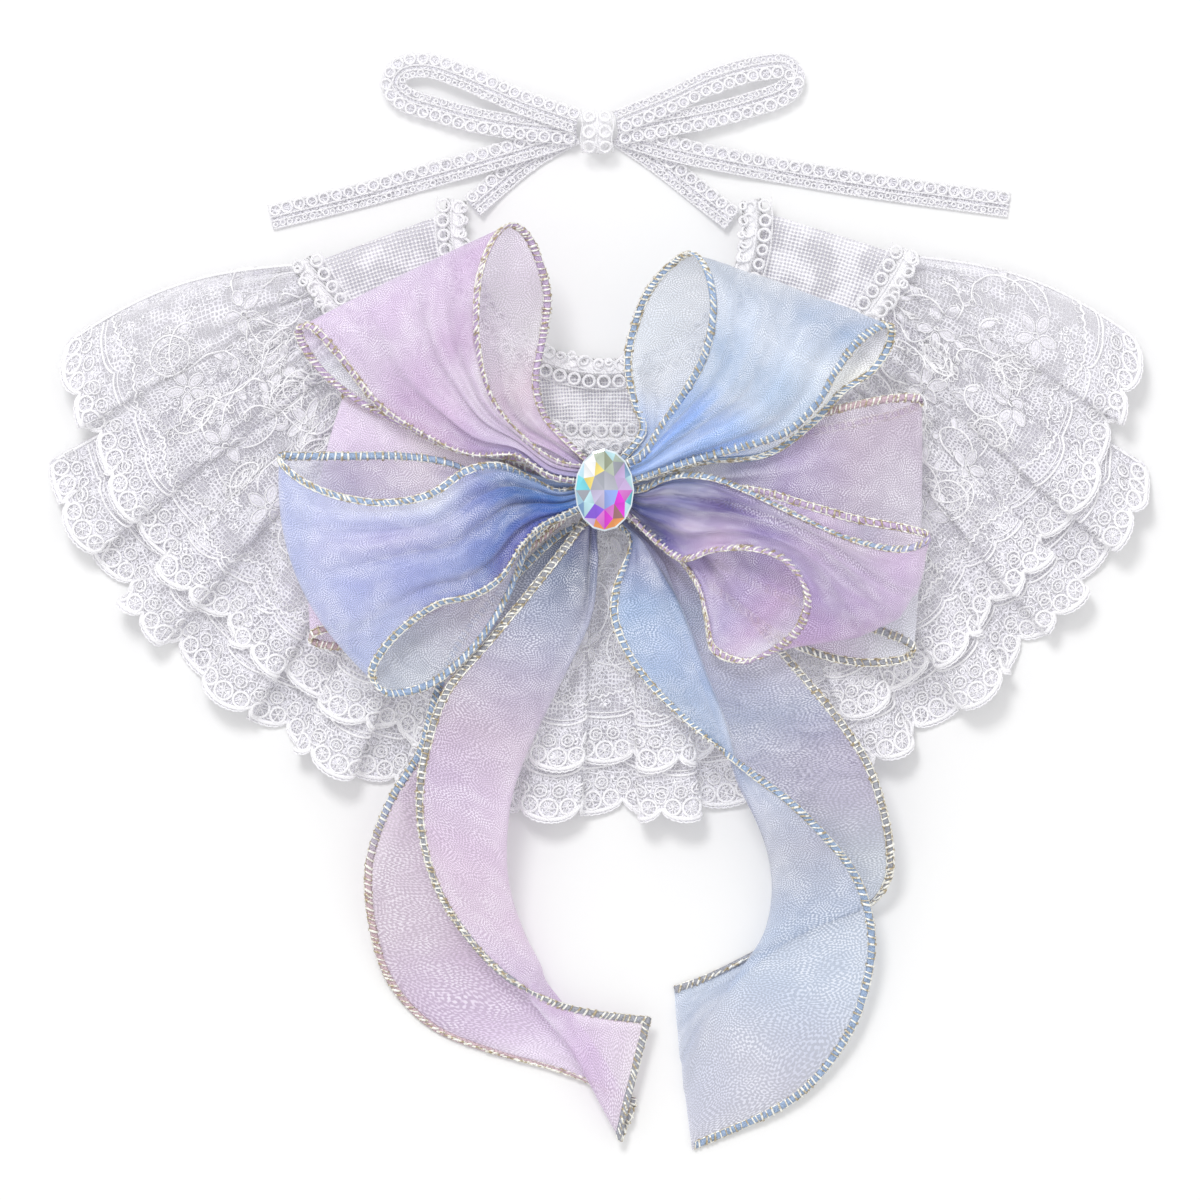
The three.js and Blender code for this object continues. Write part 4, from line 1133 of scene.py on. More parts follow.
def makeTieKnot():
    # a wrapped lump: an oval pad with two wraps over it, each a row of rings between two cords along an arc
    # z = low + high sqrt(1 - (y / round)^2)
    centre = np.array(tieKnot["centre"])
    q = np.linspace(0, fullTurn, 25)[:-1, None]
    h = np.linspace(0, np.pi, 13)
    wide = np.sin(h) ** 0.6
    halfX, halfY, halfZ = tieKnot["half"]
    high = tieKnot["middle"] - halfZ * np.cos(h) + 0 * q
    pad = np.stack([halfX * wide * np.cos(q), halfY * wide * np.sin(q), high], -1) + centre
    parts = [gridPart(pad, closeRows=True)]
    draw = np.random.default_rng(tieKnot["seed"])
    y = np.linspace(-tieKnot["wrapHalf"], tieKnot["wrapHalf"], 60)
    z = tieKnot["wrapLow"] + tieKnot["wrapHigh"] * np.sqrt(np.maximum(0, 1 - (y / tieKnot["wrapRound"]) ** 2))
    for x in tieKnot["wrapAt"]:
        path = np.stack([x + 0.2 * np.sin(y), y, z], -1) + centre
        ups = unit(np.stack([np.full(60, x * 0.25), y * 0.5, z * 0.9], -1))
        parts.append(ringRow(path, ups, 0.0, *tieKnot["ring"], draw, 0.1, 0.25))
        for aside in (tieKnot["cordAt"], -tieKnot["cordAt"]):
            parts += twistedCord(path, ups, aside, tieKnot["cordThread"])
    makePiece("tieKnotWrap", parts, ["braid"], "tie_knot")
    print("tie knot tied")


makeTieKnot()

# Ribbon colours, as they look over white lace, light and shade included: glint and pearl are painted
# highlights, and the darkest blues and violets by the knot are painted shade on the ribbon's own deeper
# colour there
shownColours = {
    "pearl": (236, 237, 246), "pearlLilac": (242, 231, 247), "clearBlue": (170, 192, 236),
    "azure": (142, 168, 222), "inkBlue": (84, 120, 188), "inkViolet": (74, 72, 124),
    "glint": (252, 252, 255), "paleLilac": (227, 216, 237), "lilac": (214, 199, 223),
    "orchid": (205, 184, 214), "greyLilac": (216, 207, 221), "greyWhite": (222, 217, 226),
    "peach": (217, 198, 214), "rose": (220, 208, 224), "mauve": (188, 174, 208),
    "paleMauve": (196, 186, 216), "violet": (158, 148, 192), "deepViolet": (116, 110, 156),
    "greyViolet": (176, 170, 201), "dusk": (138, 145, 180), "slate": (142, 149, 172),
    "blueGrey": (178, 182, 202), "mist": (198, 194, 211), "silver": (219, 219, 232),
    "paleSilver": (208, 213, 225), "knotBlue": (110, 131, 180), "deepBlue": (142, 155, 204),
    "periwinkle": (164, 172, 217), "iceLilac": (198, 204, 235), "cornflower": (152, 169, 207),
    "blue": (168, 187, 220), "skyBlue": (181, 196, 222), "iceBlue": (213, 221, 239),
}
wireDye = {"lilac": (200, 178, 212), "blue": (158, 180, 212), "rose": (206, 180, 188),
           "grey": (164, 166, 176)}

# the crease and ridge shares: how much painted shade darkens the creases of the pleats and how much painted
# highlight lightens their ridges
ribbonLook = {"steps": 150, "columns": 40, "tailColumns": 48, "natural": 50.0, "lowest": 0.5, "darkest": 0.01,
              "pleat": 1.25, "spare": 32, "pleatWide": 18, "creaseShade": 0.42, "ridge": 0.12, "creaseReach": 14,
              "thickReach": 24, "loopSeed": 40, "tailSeed": 60, "edgeSeed": 100}

# Each loop: sections from the knot over the far fold and back as x, y, z of edge a, the same of edge b, and
# how far the middle swells out and up; colours (place along, edge a, edge b, light from behind) and patches
# (place along, place across, half length, half width, strength, colour), the pale patches painted highlights
# and the dark ones by the knot painted shade
ribbonLoops = {
    "upperLeftLoop": {
        "node": "bow_loop_upper_left", "slot": "ribbon_purple",
        "wires": (("lilac", "lilac"), ("lilac", "lilac")),
        "colours": [
            (0, "orchid", "knotBlue", 0.5), (0.1, "lilac", "violet", 0.5), (0.18, "paleLilac", "mauve", 0.5),
            (0.26, "paleLilac", "orchid", 0.5), (0.33, "orchid", "orchid", 0.5), (0.4, "lilac", "lilac", 0.5),
            (0.46, "orchid", "paleLilac", 0.6), (0.55, "lilac", "paleLilac", 0.75),
            (0.62, "greyLilac", "pearl", 0.9), (0.7, "greyWhite", "pearl", 0.75),
            (0.77, "peach", "paleLilac", 0.6), (0.85, "lilac", "orchid", 0.5), (0.92, "orchid", "mauve", 0.5),
            (1, "violet", "violet", 0.5),
        ],
        "patches": [
            (0.42, 0.45, 0.05, 0.3, 0.5, "lilac"), (0.12, 0.45, 0.05, 0.25, 0.4, "lilac"),
            (0.06, 0.88, 0.05, 0.13, 0.8, "knotBlue"), (0.12, 0.88, 0.04, 0.12, 0.6, "violet"),
            (0.54, 0.4, 0.04, 0.25, 0.6, "pearl"), (0.68, 0.35, 0.05, 0.15, 0.8, "pearlLilac"),
            (0.24, 0.15, 0.05, 0.25, 0.15, "glint"),
        ],
        "rows": [
            (-0.1, 29.3, 17.8, -3.7, 25.7, 17.8, 0, 0), (-9.2, 31, 18.9, -11, 27, 18.7, 0, 0),
            (-17.2, 37, 21.2, -17.8, 31.6, 19.6, 0, 0.4), (-22.9, 44.4, 24.5, -28.2, 32, 20.2, 0, 1.2),
            (-25.5, 54.1, 28, -38.1, 36.2, 21.2, 0, 2.4), (-26, 62.9, 30.5, -48, 42.5, 22.4, 0, 3),
            (-24.9, 72.2, 31.5, -56.3, 52.6, 23, 0, 2.6), (-21.8, 79.4, 30, -62.5, 59.2, 23, 0, 1.2),
            (-18.3, 82.1, 26.5, -65.8, 59.2, 21.4, 0.6, 0), (-14.1, 78.8, 22, -64.9, 55.4, 19.6, 0, -0.6),
            (-10.6, 68.4, 18, -60.1, 49.1, 18.6, 0, -1), (-11.2, 59.2, 16.3, -52.6, 43.3, 18, 0, -0.6),
            (-13, 48.6, 15.6, -43.6, 38.7, 17.6, 0, 0), (-11.2, 40.7, 15.3, -31.5, 32.9, 17.1, 0, 0),
            (-6.2, 34.8, 15.6, -16.1, 30.4, 16.5, 0, 0), (0.2, 29, 16.2, -3.5, 25.5, 16.2, 0, 0),
        ],
    },
    "upperRightLoop": {
        "node": "bow_loop_upper_right", "slot": "ribbon_blue", "wires": (("blue", "blue"), ("blue", "blue")),
        "colours": [
            (0, "azure", "azure", 0.5), (0.12, "clearBlue", "azure", 0.5),
            (0.2, "clearBlue", "clearBlue", 0.5), (0.27, "skyBlue", "skyBlue", 0.5),
            (0.33, "skyBlue", "skyBlue", 0.5), (0.39, "iceBlue", "iceBlue", 0.55),
            (0.46, "paleSilver", "skyBlue", 0.75), (0.54, "paleSilver", "pearl", 1),
            (0.64, "paleSilver", "glint", 0.75), (0.72, "paleSilver", "glint", 0.6),
            (0.79, "paleSilver", "pearl", 0.6), (0.88, "clearBlue", "clearBlue", 0.4),
            (1, "clearBlue", "clearBlue", 0.4),
        ],
        "patches": [
            (0.1, 0.62, 0.08, 0.14, 0.5, "iceBlue"), (0.26, 0.6, 0.03, 0.2, 0.3, "pearl"),
            (0.54, 0.4, 0.05, 0.25, 0.6, "glint"), (0.06, 0.88, 0.05, 0.13, 0.6, "knotBlue"),
        ],
        "rows": [
            (2.9, 29.3, 17.8, 6.5, 25.7, 17.8, 0, 0), (9.2, 32.3, 18.9, 11.9, 27.4, 18.7, 0, 0),
            (13.2, 38.1, 21.2, 20.2, 30, 19.8, 0, 0.4), (17.6, 44.7, 24.5, 31.2, 33, 20.8, 0, 1.2),
            (21.8, 51.9, 28, 41.4, 36.3, 22, 0, 2.4), (24, 59.2, 30.5, 48.4, 42.9, 23, 0, 3),
            (24.4, 66.2, 31.5, 52.8, 50.4, 23.6, 0, 2.6), (22.9, 72.4, 30, 58.1, 57, 23.6, 0, 1.2),
            (19.8, 75.9, 26.5, 64, 60.1, 22, 0.6, 0), (15.4, 73.7, 22, 64.2, 55.7, 20, 0, -0.6),
            (10.3, 67.8, 18, 60.3, 49.9, 19, 0, -1), (7, 59.2, 16.3, 53.9, 45.5, 18.4, 0, -0.6),
            (5.9, 51.7, 15.6, 47.1, 38.3, 17.8, 0, 0), (7.5, 43.3, 15.3, 37, 31.6, 17.4, 0, 0),
            (9.2, 37.2, 15.6, 22.4, 29.9, 16.9, 0, 0), (2.7, 29.1, 16.2, 6.3, 25.5, 16.2, 0, 0),
        ],
    },
    "lowerLeftLoop": {
        "node": "bow_loop_lower_left", "slot": "ribbon_periwinkle",
        "wires": (("blue", "blue"), ("blue", "blue")),
        "colours": [
            (0, "cornflower", "inkBlue", 0.5), (0.11, "cornflower", "inkBlue", 0.5),
            (0.18, "periwinkle", "knotBlue", 0.5), (0.25, "iceBlue", "deepBlue", 0.5),
            (0.33, "iceLilac", "periwinkle", 0.5), (0.4, "iceLilac", "iceLilac", 0.55),
            (0.5, "iceLilac", "iceLilac", 0.65), (0.55, "silver", "paleSilver", 0.75),
            (0.65, "mist", "paleSilver", 0.75), (0.78, "greyLilac", "mist", 0.6),
            (0.88, "mauve", "blueGrey", 0.5), (1, "violet", "cornflower", 0.5),
        ],
        "patches": [
            (0.06, 0.5, 0.04, 0.3, 0.7, "inkBlue"), (0.07, 0.86, 0.06, 0.16, 0.9, "inkBlue"),
            (0.12, 0.45, 0.05, 0.3, 0.7, "knotBlue"), (0.19, 0.45, 0.05, 0.3, 0.7, "deepBlue"),
            (0.28, 0.45, 0.06, 0.25, 0.7, "periwinkle"), (0.34, 0.36, 0.1, 0.09, 0.3, "lilac"),
            (0.3, 0.12, 0.15, 0.07, 0.4, "pearl"), (0.4, 0.6, 0.04, 0.2, 0.4, "periwinkle"),
        ],
        "rows": [
            (-3.7, 25.1, 14.8, -2.3, 20.5, 14.8, 0, 0), (-9.2, 24.6, 15.2, -7, 18.3, 15.4, 0, 0.2),
            (-15.4, 27.6, 16.8, -12.8, 15.6, 17.6, 0, 1), (-21.6, 30.2, 19.6, -17.2, 11, 20.2, 0, 2.4),
            (-29, 29, 20.4, -21.1, 4.6, 22.4, 0, 3.4), (-37, 23.8, 21, -27.3, 0.7, 24, 0, 4.2),
            (-47.1, 22, 21.6, -34.8, -1.1, 25, 0, 4.6), (-57.9, 23.8, 22.4, -42.7, -6.8, 24.6, 1.5, 4.2),
            (-65.6, 27.5, 22.6, -47.7, -13, 23, 5, 3), (-69.5, 31.9, 21.4, -48.6, -17.4, 20.4, 7, 0.6),
            (-64.5, 32.3, 19.8, -44.7, -20.7, 18.2, 5, 0), (-54.6, 32.3, 18.9, -35.6, -18.3, 17.5, 2, 0),
            (-43.6, 32.3, 18.4, -26.4, -10.1, 17.2, 0, 0), (-33.7, 31, 17.6, -19.8, 0.2, 16.8, 0, 0),
            (-23.8, 27.1, 16.2, -15.4, 10.8, 16, 0, 0), (-12.8, 24.2, 14.2, -10.6, 16.7, 14.4, 0, 0),
            (-3.9, 24.9, 13.2, -2.5, 20.2, 13.2, 0, 0),
        ],
    },
    "lowerRightLoop": {
        "node": "bow_loop_lower_right", "slot": "ribbon_violet",
        "wires": (("blue", "lilac"), ("lilac", "lilac")),
        "colours": [
            (0, "knotBlue", "inkViolet", 0.45), (0.1, "dusk", "violet", 0.45),
            (0.18, "greyViolet", "orchid", 0.4), (0.25, "mist", "mauve", 0.45),
            (0.35, "greyLilac", "greyViolet", 0.5), (0.46, "lilac", "mauve", 0.6),
            (0.55, "greyLilac", "orchid", 0.65), (0.62, "mist", "pearl", 0.6), (0.7, "lilac", "orchid", 0.5),
            (0.76, "mauve", "paleMauve", 0.5), (0.82, "greyLilac", "mauve", 0.45),
            (0.88, "mauve", "violet", 0.4), (1, "deepViolet", "deepViolet", 0.4),
        ],
        "patches": [
            (0.05, 0.88, 0.05, 0.18, 0.9, "inkViolet"), (0.19, 0.33, 0.04, 0.2, 0.75, "violet"),
            (0.05, 0.3, 0.04, 0.15, 0.5, "mauve"), (0.17, 0.3, 0.04, 0.2, 0.55, "inkViolet"),
            (0.54, 0.35, 0.04, 0.2, 0.4, "pearl"), (0.34, 0.5, 0.06, 0.2, 0.4, "lilac"),
            (0.25, 0.6, 0.04, 0.22, 0.7, "violet"), (0.12, 0.62, 0.03, 0.1, 0.6, "lilac"),
            (0.43, 0.6, 0.04, 0.3, 0.3, "lilac"),
        ],
        "rows": [
            (6.5, 24.9, 14.8, 4.9, 20.3, 14.8, 0, 0), (10.3, 25.3, 15.2, 9.2, 16.1, 15.4, 0, 0.2),
            (16.7, 27.8, 16.4, 13.6, 11.9, 17.2, 0, 1), (24.6, 27.5, 18, 18.5, 8.8, 20, 0, 2),
            (32.8, 24.2, 19, 25.1, 10.8, 23.4, 0, 2.4), (43.3, 18.9, 20, 33, 11.2, 26.4, 0, 2.6),
            (54.3, 13.9, 21.4, 40.5, 8.6, 27.4, 1, 3), (66.2, 11.9, 22.6, 44.9, 2, 26, 7, 3),
            (72.4, 14.5, 21.4, 43.8, -4.6, 22.4, 11, 1), (67.5, 16.5, 19.8, 39.2, -9.7, 19.2, 10, 0),
            (56.8, 18.5, 18.8, 31.7, -13.4, 17.6, 5, 0), (45.8, 21.6, 18.2, 25.1, -11.2, 17.2, 0, 0),
            (36.3, 24.4, 17.6, 23.5, -4.6, 17, 0, 0), (25.7, 25.5, 16.6, 21.8, 2.9, 16.4, 0, 0),
            (15.4, 24.7, 14.6, 15.4, 11.7, 14.8, 0, 0), (6.7, 24.5, 13.2, 5.1, 19.9, 13.2, 0, 0),
        ],
    },
    "backLeftLoop": {
        "node": "bow_loop_back_left", "slot": "ribbon_lilac", "wires": (("rose", "rose"), ("rose", "rose")),
        "colours": [
            (0, "clearBlue", "slate", 0.25), (0.11, "clearBlue", "slate", 0.25),
            (0.18, "pearlLilac", "paleMauve", 0.25), (0.27, "pearlLilac", "pearl", 0.25),
            (0.35, "paleLilac", "paleLilac", 0.4), (0.42, "paleLilac", "paleLilac", 0.5),
            (0.66, "paleLilac", "paleLilac", 0.5), (1, "slate", "slate", 0.4),
        ],
        "patches": [
            (0.45, 0.95, 0.05, 0.15, 0.4, "rose"),
        ],
        "rows": [
            (-3.2, 26.4, 11.8, -3.2, 21.8, 11.8, 0, 0), (-12.8, 28.4, 12.5, -9.5, 16.7, 12.5, 0, 0),
            (-26, 33.9, 13.9, -21.6, 7.9, 14.2, 0, 0.2), (-39.2, 39.6, 14.9, -37, -0.7, 15.2, 0, 0.2),
            (-48.4, 43.8, 15.3, -51.3, -5.9, 15.6, 0, 0.2), (-53.7, 46, 15.2, -59.8, -6.8, 15.4, 1.6, 0),
            (-55.4, 45.8, 13.9, -62.9, -8.6, 14.1, 3, 0), (-53.7, 44.2, 12.7, -60.7, -10.1, 12.8, 1.6, 0),
            (-48, 41.6, 12.3, -54.1, -10.1, 12.4, 0, 0), (-37, 37.2, 12.2, -39.2, -4.2, 12.3, 0, 0),
            (-23.8, 31.9, 11.6, -21.6, 5.7, 11.8, 0, 0), (-11, 26.6, 10.7, -9.5, 15.6, 10.8, 0, 0),
            (-3.4, 26.2, 10.2, -3.4, 21.6, 10.2, 0, 0),
        ],
    },
    "backRightLoop": {
        "node": "bow_loop_back_right", "slot": "ribbon_lilac", "wires": (("rose", "lilac"), ("grey", "grey")),
        "colours": [
            (0, "cornflower", "cornflower", 0.4), (0.1, "pearl", "pearl", 0.2),
            (0.18, "blueGrey", "paleMauve", 0.4), (0.27, "paleMauve", "greyViolet", 0.5),
            (0.38, "greyLilac", "mist", 0.65), (0.47, "greyLilac", "pearl", 0.8),
            (0.56, "greyLilac", "pearl", 0.8), (0.66, "greyLilac", "lilac", 0.75),
            (0.74, "lilac", "mauve", 0.6), (1, "violet", "violet", 0.4),
        ],
        "patches": [],
        "rows": [
            (6, 26.4, 11.8, 6, 21.8, 11.8, 0, 0), (14.1, 28.8, 12.5, 12.5, 15.6, 12.5, 0, 0),
            (29, 35, 13.9, 26.8, 7.3, 14.2, 0, 0.2), (42.2, 39.8, 14.8, 42.2, -0.2, 15, 0, 0.2),
            (54.3, 43.1, 15.1, 55.4, -5.1, 15.3, 0, 0.2), (65.3, 45.1, 15, 65.6, -8.6, 15.2, 0.3, 0),
            (70.8, 44.7, 13.9, 69.1, -11.2, 14.1, 0.8, 0), (67.1, 42.2, 12.7, 65.8, -13.6, 12.8, 0.3, 0),
            (57.2, 39.8, 12.3, 55.4, -13.9, 12.4, 0, 0), (44.4, 37.2, 12.2, 42.2, -9.7, 12.3, 0, 0),
            (31.2, 33.4, 11.6, 26.8, 1.3, 11.8, 0, 0), (15.8, 27.5, 10.7, 12.5, 13.9, 10.8, 0, 0),
            (6.2, 26.2, 10.2, 6.2, 21.6, 10.2, 0, 0),
        ],
    },
}

# Each tail: sections from the knot to the cut end as x, y, z of edge a, of the long fold's lines c and d and
# of edge b; its colours and patches hold painted highlights and painted shade as the loops' do
ribbonTails = {
    "leftTail": {
        "node": "bow_tail_left", "slot": "ribbon_lilac",
        "wires": (("grey", "grey"), ("blue", "rose")), "stitchedEnd": True,
        "colours": [
            (0, "deepViolet", "slate", 0.5), (0.11, "slate", "slate", 0.55),
            (0.18, "blueGrey", "blueGrey", 0.5), (0.27, "mist", "mist", 0.6),
            (0.38, "greyLilac", "greyLilac", 0.72), (0.48, "paleLilac", "rose", 0.8),
            (0.6, "pearlLilac", "rose", 0.85), (0.68, "pearlLilac", "rose", 0.85),
            (0.76, "paleLilac", "lilac", 0.75), (0.83, "lilac", "paleLilac", 0.55),
            (0.91, "lilac", "paleLilac", 0.5), (1, "greyLilac", "paleLilac", 0.5),
        ],
        "patches": [
            (0.15, 0.3, 0.05, 0.12, 0.4, "mist"), (0.5, 0.36, 0.15, 0.17, 0.6, "pearlLilac"),
            (0.82, 0.33, 0.04, 0.1, 0.5, "pearl"), (0.89, 0.35, 0.04, 0.12, 0.35, "orchid"),
        ],
        "rows": [
            (-2.4, 19.6, 8.7, -1.2, 19, 8.6, -0.2, 18.8, 8.5, 0.7, 18.8, 8.4),
            (-6.2, 14.1, 10.4, -1, 8.6, 10.8, -1.4, 8.6, 9, -8.6, 15, 8.6),
            (-14.5, 3.5, 13.4, -1.8, -3.1, 13.6, -2.4, -3, 11.2, -18.6, 6, 11),
            (-24.6, -8.8, 15, -6.8, -14.7, 15.4, -7.4, -14.6, 12.8, -29.6, -6.6, 12.8),
            (-33.7, -19.6, 16.2, -14.3, -29.9, 16.6, -14.9, -29.8, 13.2, -35.8, -19.6, 13.2),
            (-38.3, -32.8, 16.6, -18.9, -42, 16.8, -19.5, -42, 13.2, -39.6, -32.8, 13.2),
            (-39.6, -43.8, 15.4, -20.2, -53.7, 15.4, -20.8, -53.8, 12, -46.2, -43.8, 12.8),
            (-38.3, -54.8, 12.4, -19.4, -63.6, 12, -20, -63.8, 8.4, -50.8, -57.4, 9.4),
            (-34.8, -64.7, 9.4, -16.3, -72.8, 8.8, -17, -73.2, 5, -50.2, -71.3, 5),
            (-28.6, -74.1, 7.8, -12.6, -80.6, 7, -13.2, -81.2, 3, -46.2, -83.8, 1.6),
            (-20.5, -82.3, 7, -15, -84.8, 6.2, -8.4, -88, 3.2, -37, -93.7, 0.6),
            (-11, -87.3, 6.6, -12.2, -90.8, 5.6, -3.6, -94, 3.2, -23.8, -99.2, 0.6),
            (-0.7, -90, 6, -4.8, -101, 5, 1.6, -101.6, 2.8, -9.5, -103, 0.6),
            (11.7, -91.5, 5.2, 4.8, -119, 3.6, 7.6, -112.4, 2, 8.4, -109.3, 0.6),
        ],
    },
    "rightTail": {
        "node": "bow_tail_right", "slot": "ribbon_blue", "wires": (("blue", "blue"), ("grey", "grey")),
        "colours": [
            (0, "cornflower", "deepViolet", 0.45), (0.11, "dusk", "paleMauve", 0.5),
            (0.19, "blue", "blueGrey", 0.5), (0.27, "blue", "mist", 0.45), (0.38, "skyBlue", "blueGrey", 0.6),
            (0.46, "skyBlue", "mist", 0.7), (0.53, "iceBlue", "mist", 0.8),
            (0.62, "silver", "paleSilver", 0.9), (0.76, "iceBlue", "iceBlue", 0.92),
            (0.83, "iceBlue", "iceBlue", 0.88), (0.92, "silver", "iceBlue", 0.88),
            (1, "silver", "iceBlue", 0.88),
        ],
        "patches": [
            (0.15, 0.3, 0.05, 0.15, 0.5, "slate"), (0.4, 0.45, 0.05, 0.2, 0.7, "pearl"),
            (0.6, 0.35, 0.12, 0.2, 0.5, "pearl"),
        ],
        "rows": [
            (2.1, 18.8, 8.7, 3.1, 18.9, 8.6, 4.2, 19.2, 8.5, 5.3, 19.8, 8.4),
            (7, 13.4, 11, 10.3, 12.3, 11.4, 11.6, 10.4, 9.4, 15.4, 12.3, 9),
            (3.3, 2.4, 12.8, 16.7, 2.4, 15.2, 15.4, 1, 12.2, 29, 2.4, 9.8),
            (3.5, -5.9, 13.6, 20.2, -5.7, 16, 18.9, -7.6, 12.7, 36.7, -6.4, 10.5),
            (9.2, -16.3, 14.4, 24, -16.1, 16.6, 22.9, -18, 13.2, 44, -14.7, 11.6),
            (20.2, -27.3, 15.6, 28.4, -27.1, 17.4, 27.3, -29.4, 13.4, 51.5, -23.5, 13),
            (31.2, -35.2, 17.6, 31, -38, 17, 31.2, -39.4, 13.6, 59, -34.3, 13),
            (42.2, -43.3, 17.4, 34.8, -46.8, 16, 35.2, -47.4, 13.2, 62.9, -44.9, 12.6),
            (50.6, -51.7, 15, 37.6, -55.2, 12.8, 38.1, -55.6, 9.6, 64.7, -54.8, 9.8),
            (56.5, -59.2, 12.2, 38.4, -63.8, 9.2, 39, -64.2, 5.8, 64, -61.8, 6.8),
            (60.1, -69.1, 9.6, 36.8, -72.4, 6.6, 37.6, -72.8, 3, 59.4, -67.1, 4),
            (60.3, -80.3, 7, 32.6, -79.4, 5.4, 33.6, -79.4, 2, 49.3, -70.6, 1.6),
            (55.4, -95.5, 4.6, 27.3, -87.4, 4.4, 28.2, -86.2, 1.6, 36.7, -76.3, 0.6),
            (43.1, -110, 2.4, 23.6, -94.4, 3.2, 22.6, -90, 1.8, 25.7, -81.6, 0.6),
            (20.7, -120.8, 0.6, 18.9, -107, 1.6, 17.6, -96, 1.4, 16.7, -84.9, 0.6),
        ],
    },
}
knotPlace = np.array([1.4, 24.2, 0.0])


def ribbonColours(stops, patches, along, across, thick):
    # colours blended along the ribbon between the stops and across it from edge a to edge b, then towards
    # another colour in soft patches, each exp(-(away along / half)^2 - (away across / half)^2). These are
    # the colours that show, with painted highlights and painted shade among them. The cloth's own colour is
    # what shows, less the light from behind through the open share of the weave, over the share that is cloth
    # and the light on it, less the painted white of the ridge glints. Where no cloth colour is pale enough
    # for
    # what shows, the weave shuts: share = (shown - behind) / (palest cloth colour under the light - behind)
    places, firsts, seconds, lights = zip(*stops)
    a, b = (sampled(np.array([linear(*shownColours[name]) for name in names]), places, along) for names in (firsts,
                                                                                                   seconds))
    behind = np.interp(along, places, lights)[:, None, None]
    colours = mix(a[:, None], b[:, None], across[None, :, None])
    for atAlong, atAcross, halfAlong, halfAcross, strength, name in patches:
        away = ((along[:, None] - atAlong) / halfAlong) ** 2 + ((across - atAcross) / halfAcross) ** 2
        colours = mix(colours, linear(*shownColours[name]), (strength * np.exp(-away))[..., None])
    thick = thick[..., None]
    light = mix(organzaLook["lightOpen"], organzaLook["lightKnot"], thick) * np.array(organzaLook["lightHue"])
    palest = organzaLook["palest"]
    shut = ((colours - behind) / np.maximum(palest * light - behind, 0.05)).max(-1, keepdims=True)
    share = np.maximum(mix(organzaLook["sheer"], organzaLook["dense"], thick), shut)
    share = np.clip(share, 0, organzaLook["dense"])
    ridges = organzaLook["ridgeWhite"]
    dyed = ((colours - (1 - share) * behind) / share / light - ridges) / (1 - ridges)
    return np.clip(dyed, ribbonLook["darkest"], palest), share[..., 0]


def pleated(points, across, seed, fromKnot):
    # gathers the cloth that a narrow stretch has too much of: normal height = size sin(waves across), with
    # size from natural width less width, fading towards the open fold. It also gives a painted shade for the
    # colours: darker in the creases between the pleats, with a painted highlight on their ridges, strongest
    # near the knot and where the ribbon is narrowest
    draw = np.random.default_rng(seed)
    wide = lengthsAcross(points)
    spare = np.clip((ribbonLook["natural"] - wide) / ribbonLook["spare"], 0, 1)
    size = ribbonLook["pleat"] * spare * np.clip(wide / ribbonLook["pleatWide"], 0.16, 1)
    warp = across + 0.05 * wave(across + draw.uniform()) + 0.02 * wave(3 * across + draw.uniform())
    folds = wave(3.6 * warp + draw.uniform()) + 0.45 * wave(7.7 * warp + draw.uniform())
    folds = folds + 0.3 * wave(12.3 * warp + draw.uniform())
    held = np.sin(np.pi * np.clip(across, 0, 1)) ** 0.35
    moved = points + gridNormals(points) * (size[:, None] * folds * held)[..., None]
    depth = np.exp(-fromKnot / ribbonLook["creaseReach"])[:, None] + 0.35 * spare[:, None]
    # painted shade in the creases and painted highlight on the ridges
    shade = ribbonLook["creaseShade"] * np.clip(-folds, 0, 1.2) - ribbonLook["ridge"] * np.clip(folds, 0, 1.2)
    return moved, 1 - depth * shade


def lengthsAcross(points):
    # width of a grid at every row
    return np.linalg.norm(np.diff(points, axis=1), axis=-1).sum(1)


# Sizes in shares of the half width of the band, threads and steps in mm
edgeLook = {"half": 0.92, "in": 0.75, "step": 0.9, "cord": 0.84, "cordFlat": 0.4, "blend": (0.4, 0.56),
            "goldOut": 0.84, "goldWave": 0.1, "goldPitch": 1.9, "goldLift": 0.16, "goldThread": (0.1, 0.27),
            "turns": (0.9, 1.9), "turnWide": 0.95, "turnHigh": 0.46, "slant": (0.1, 0.45),
            "turnThread": (0.16, 0.36)}


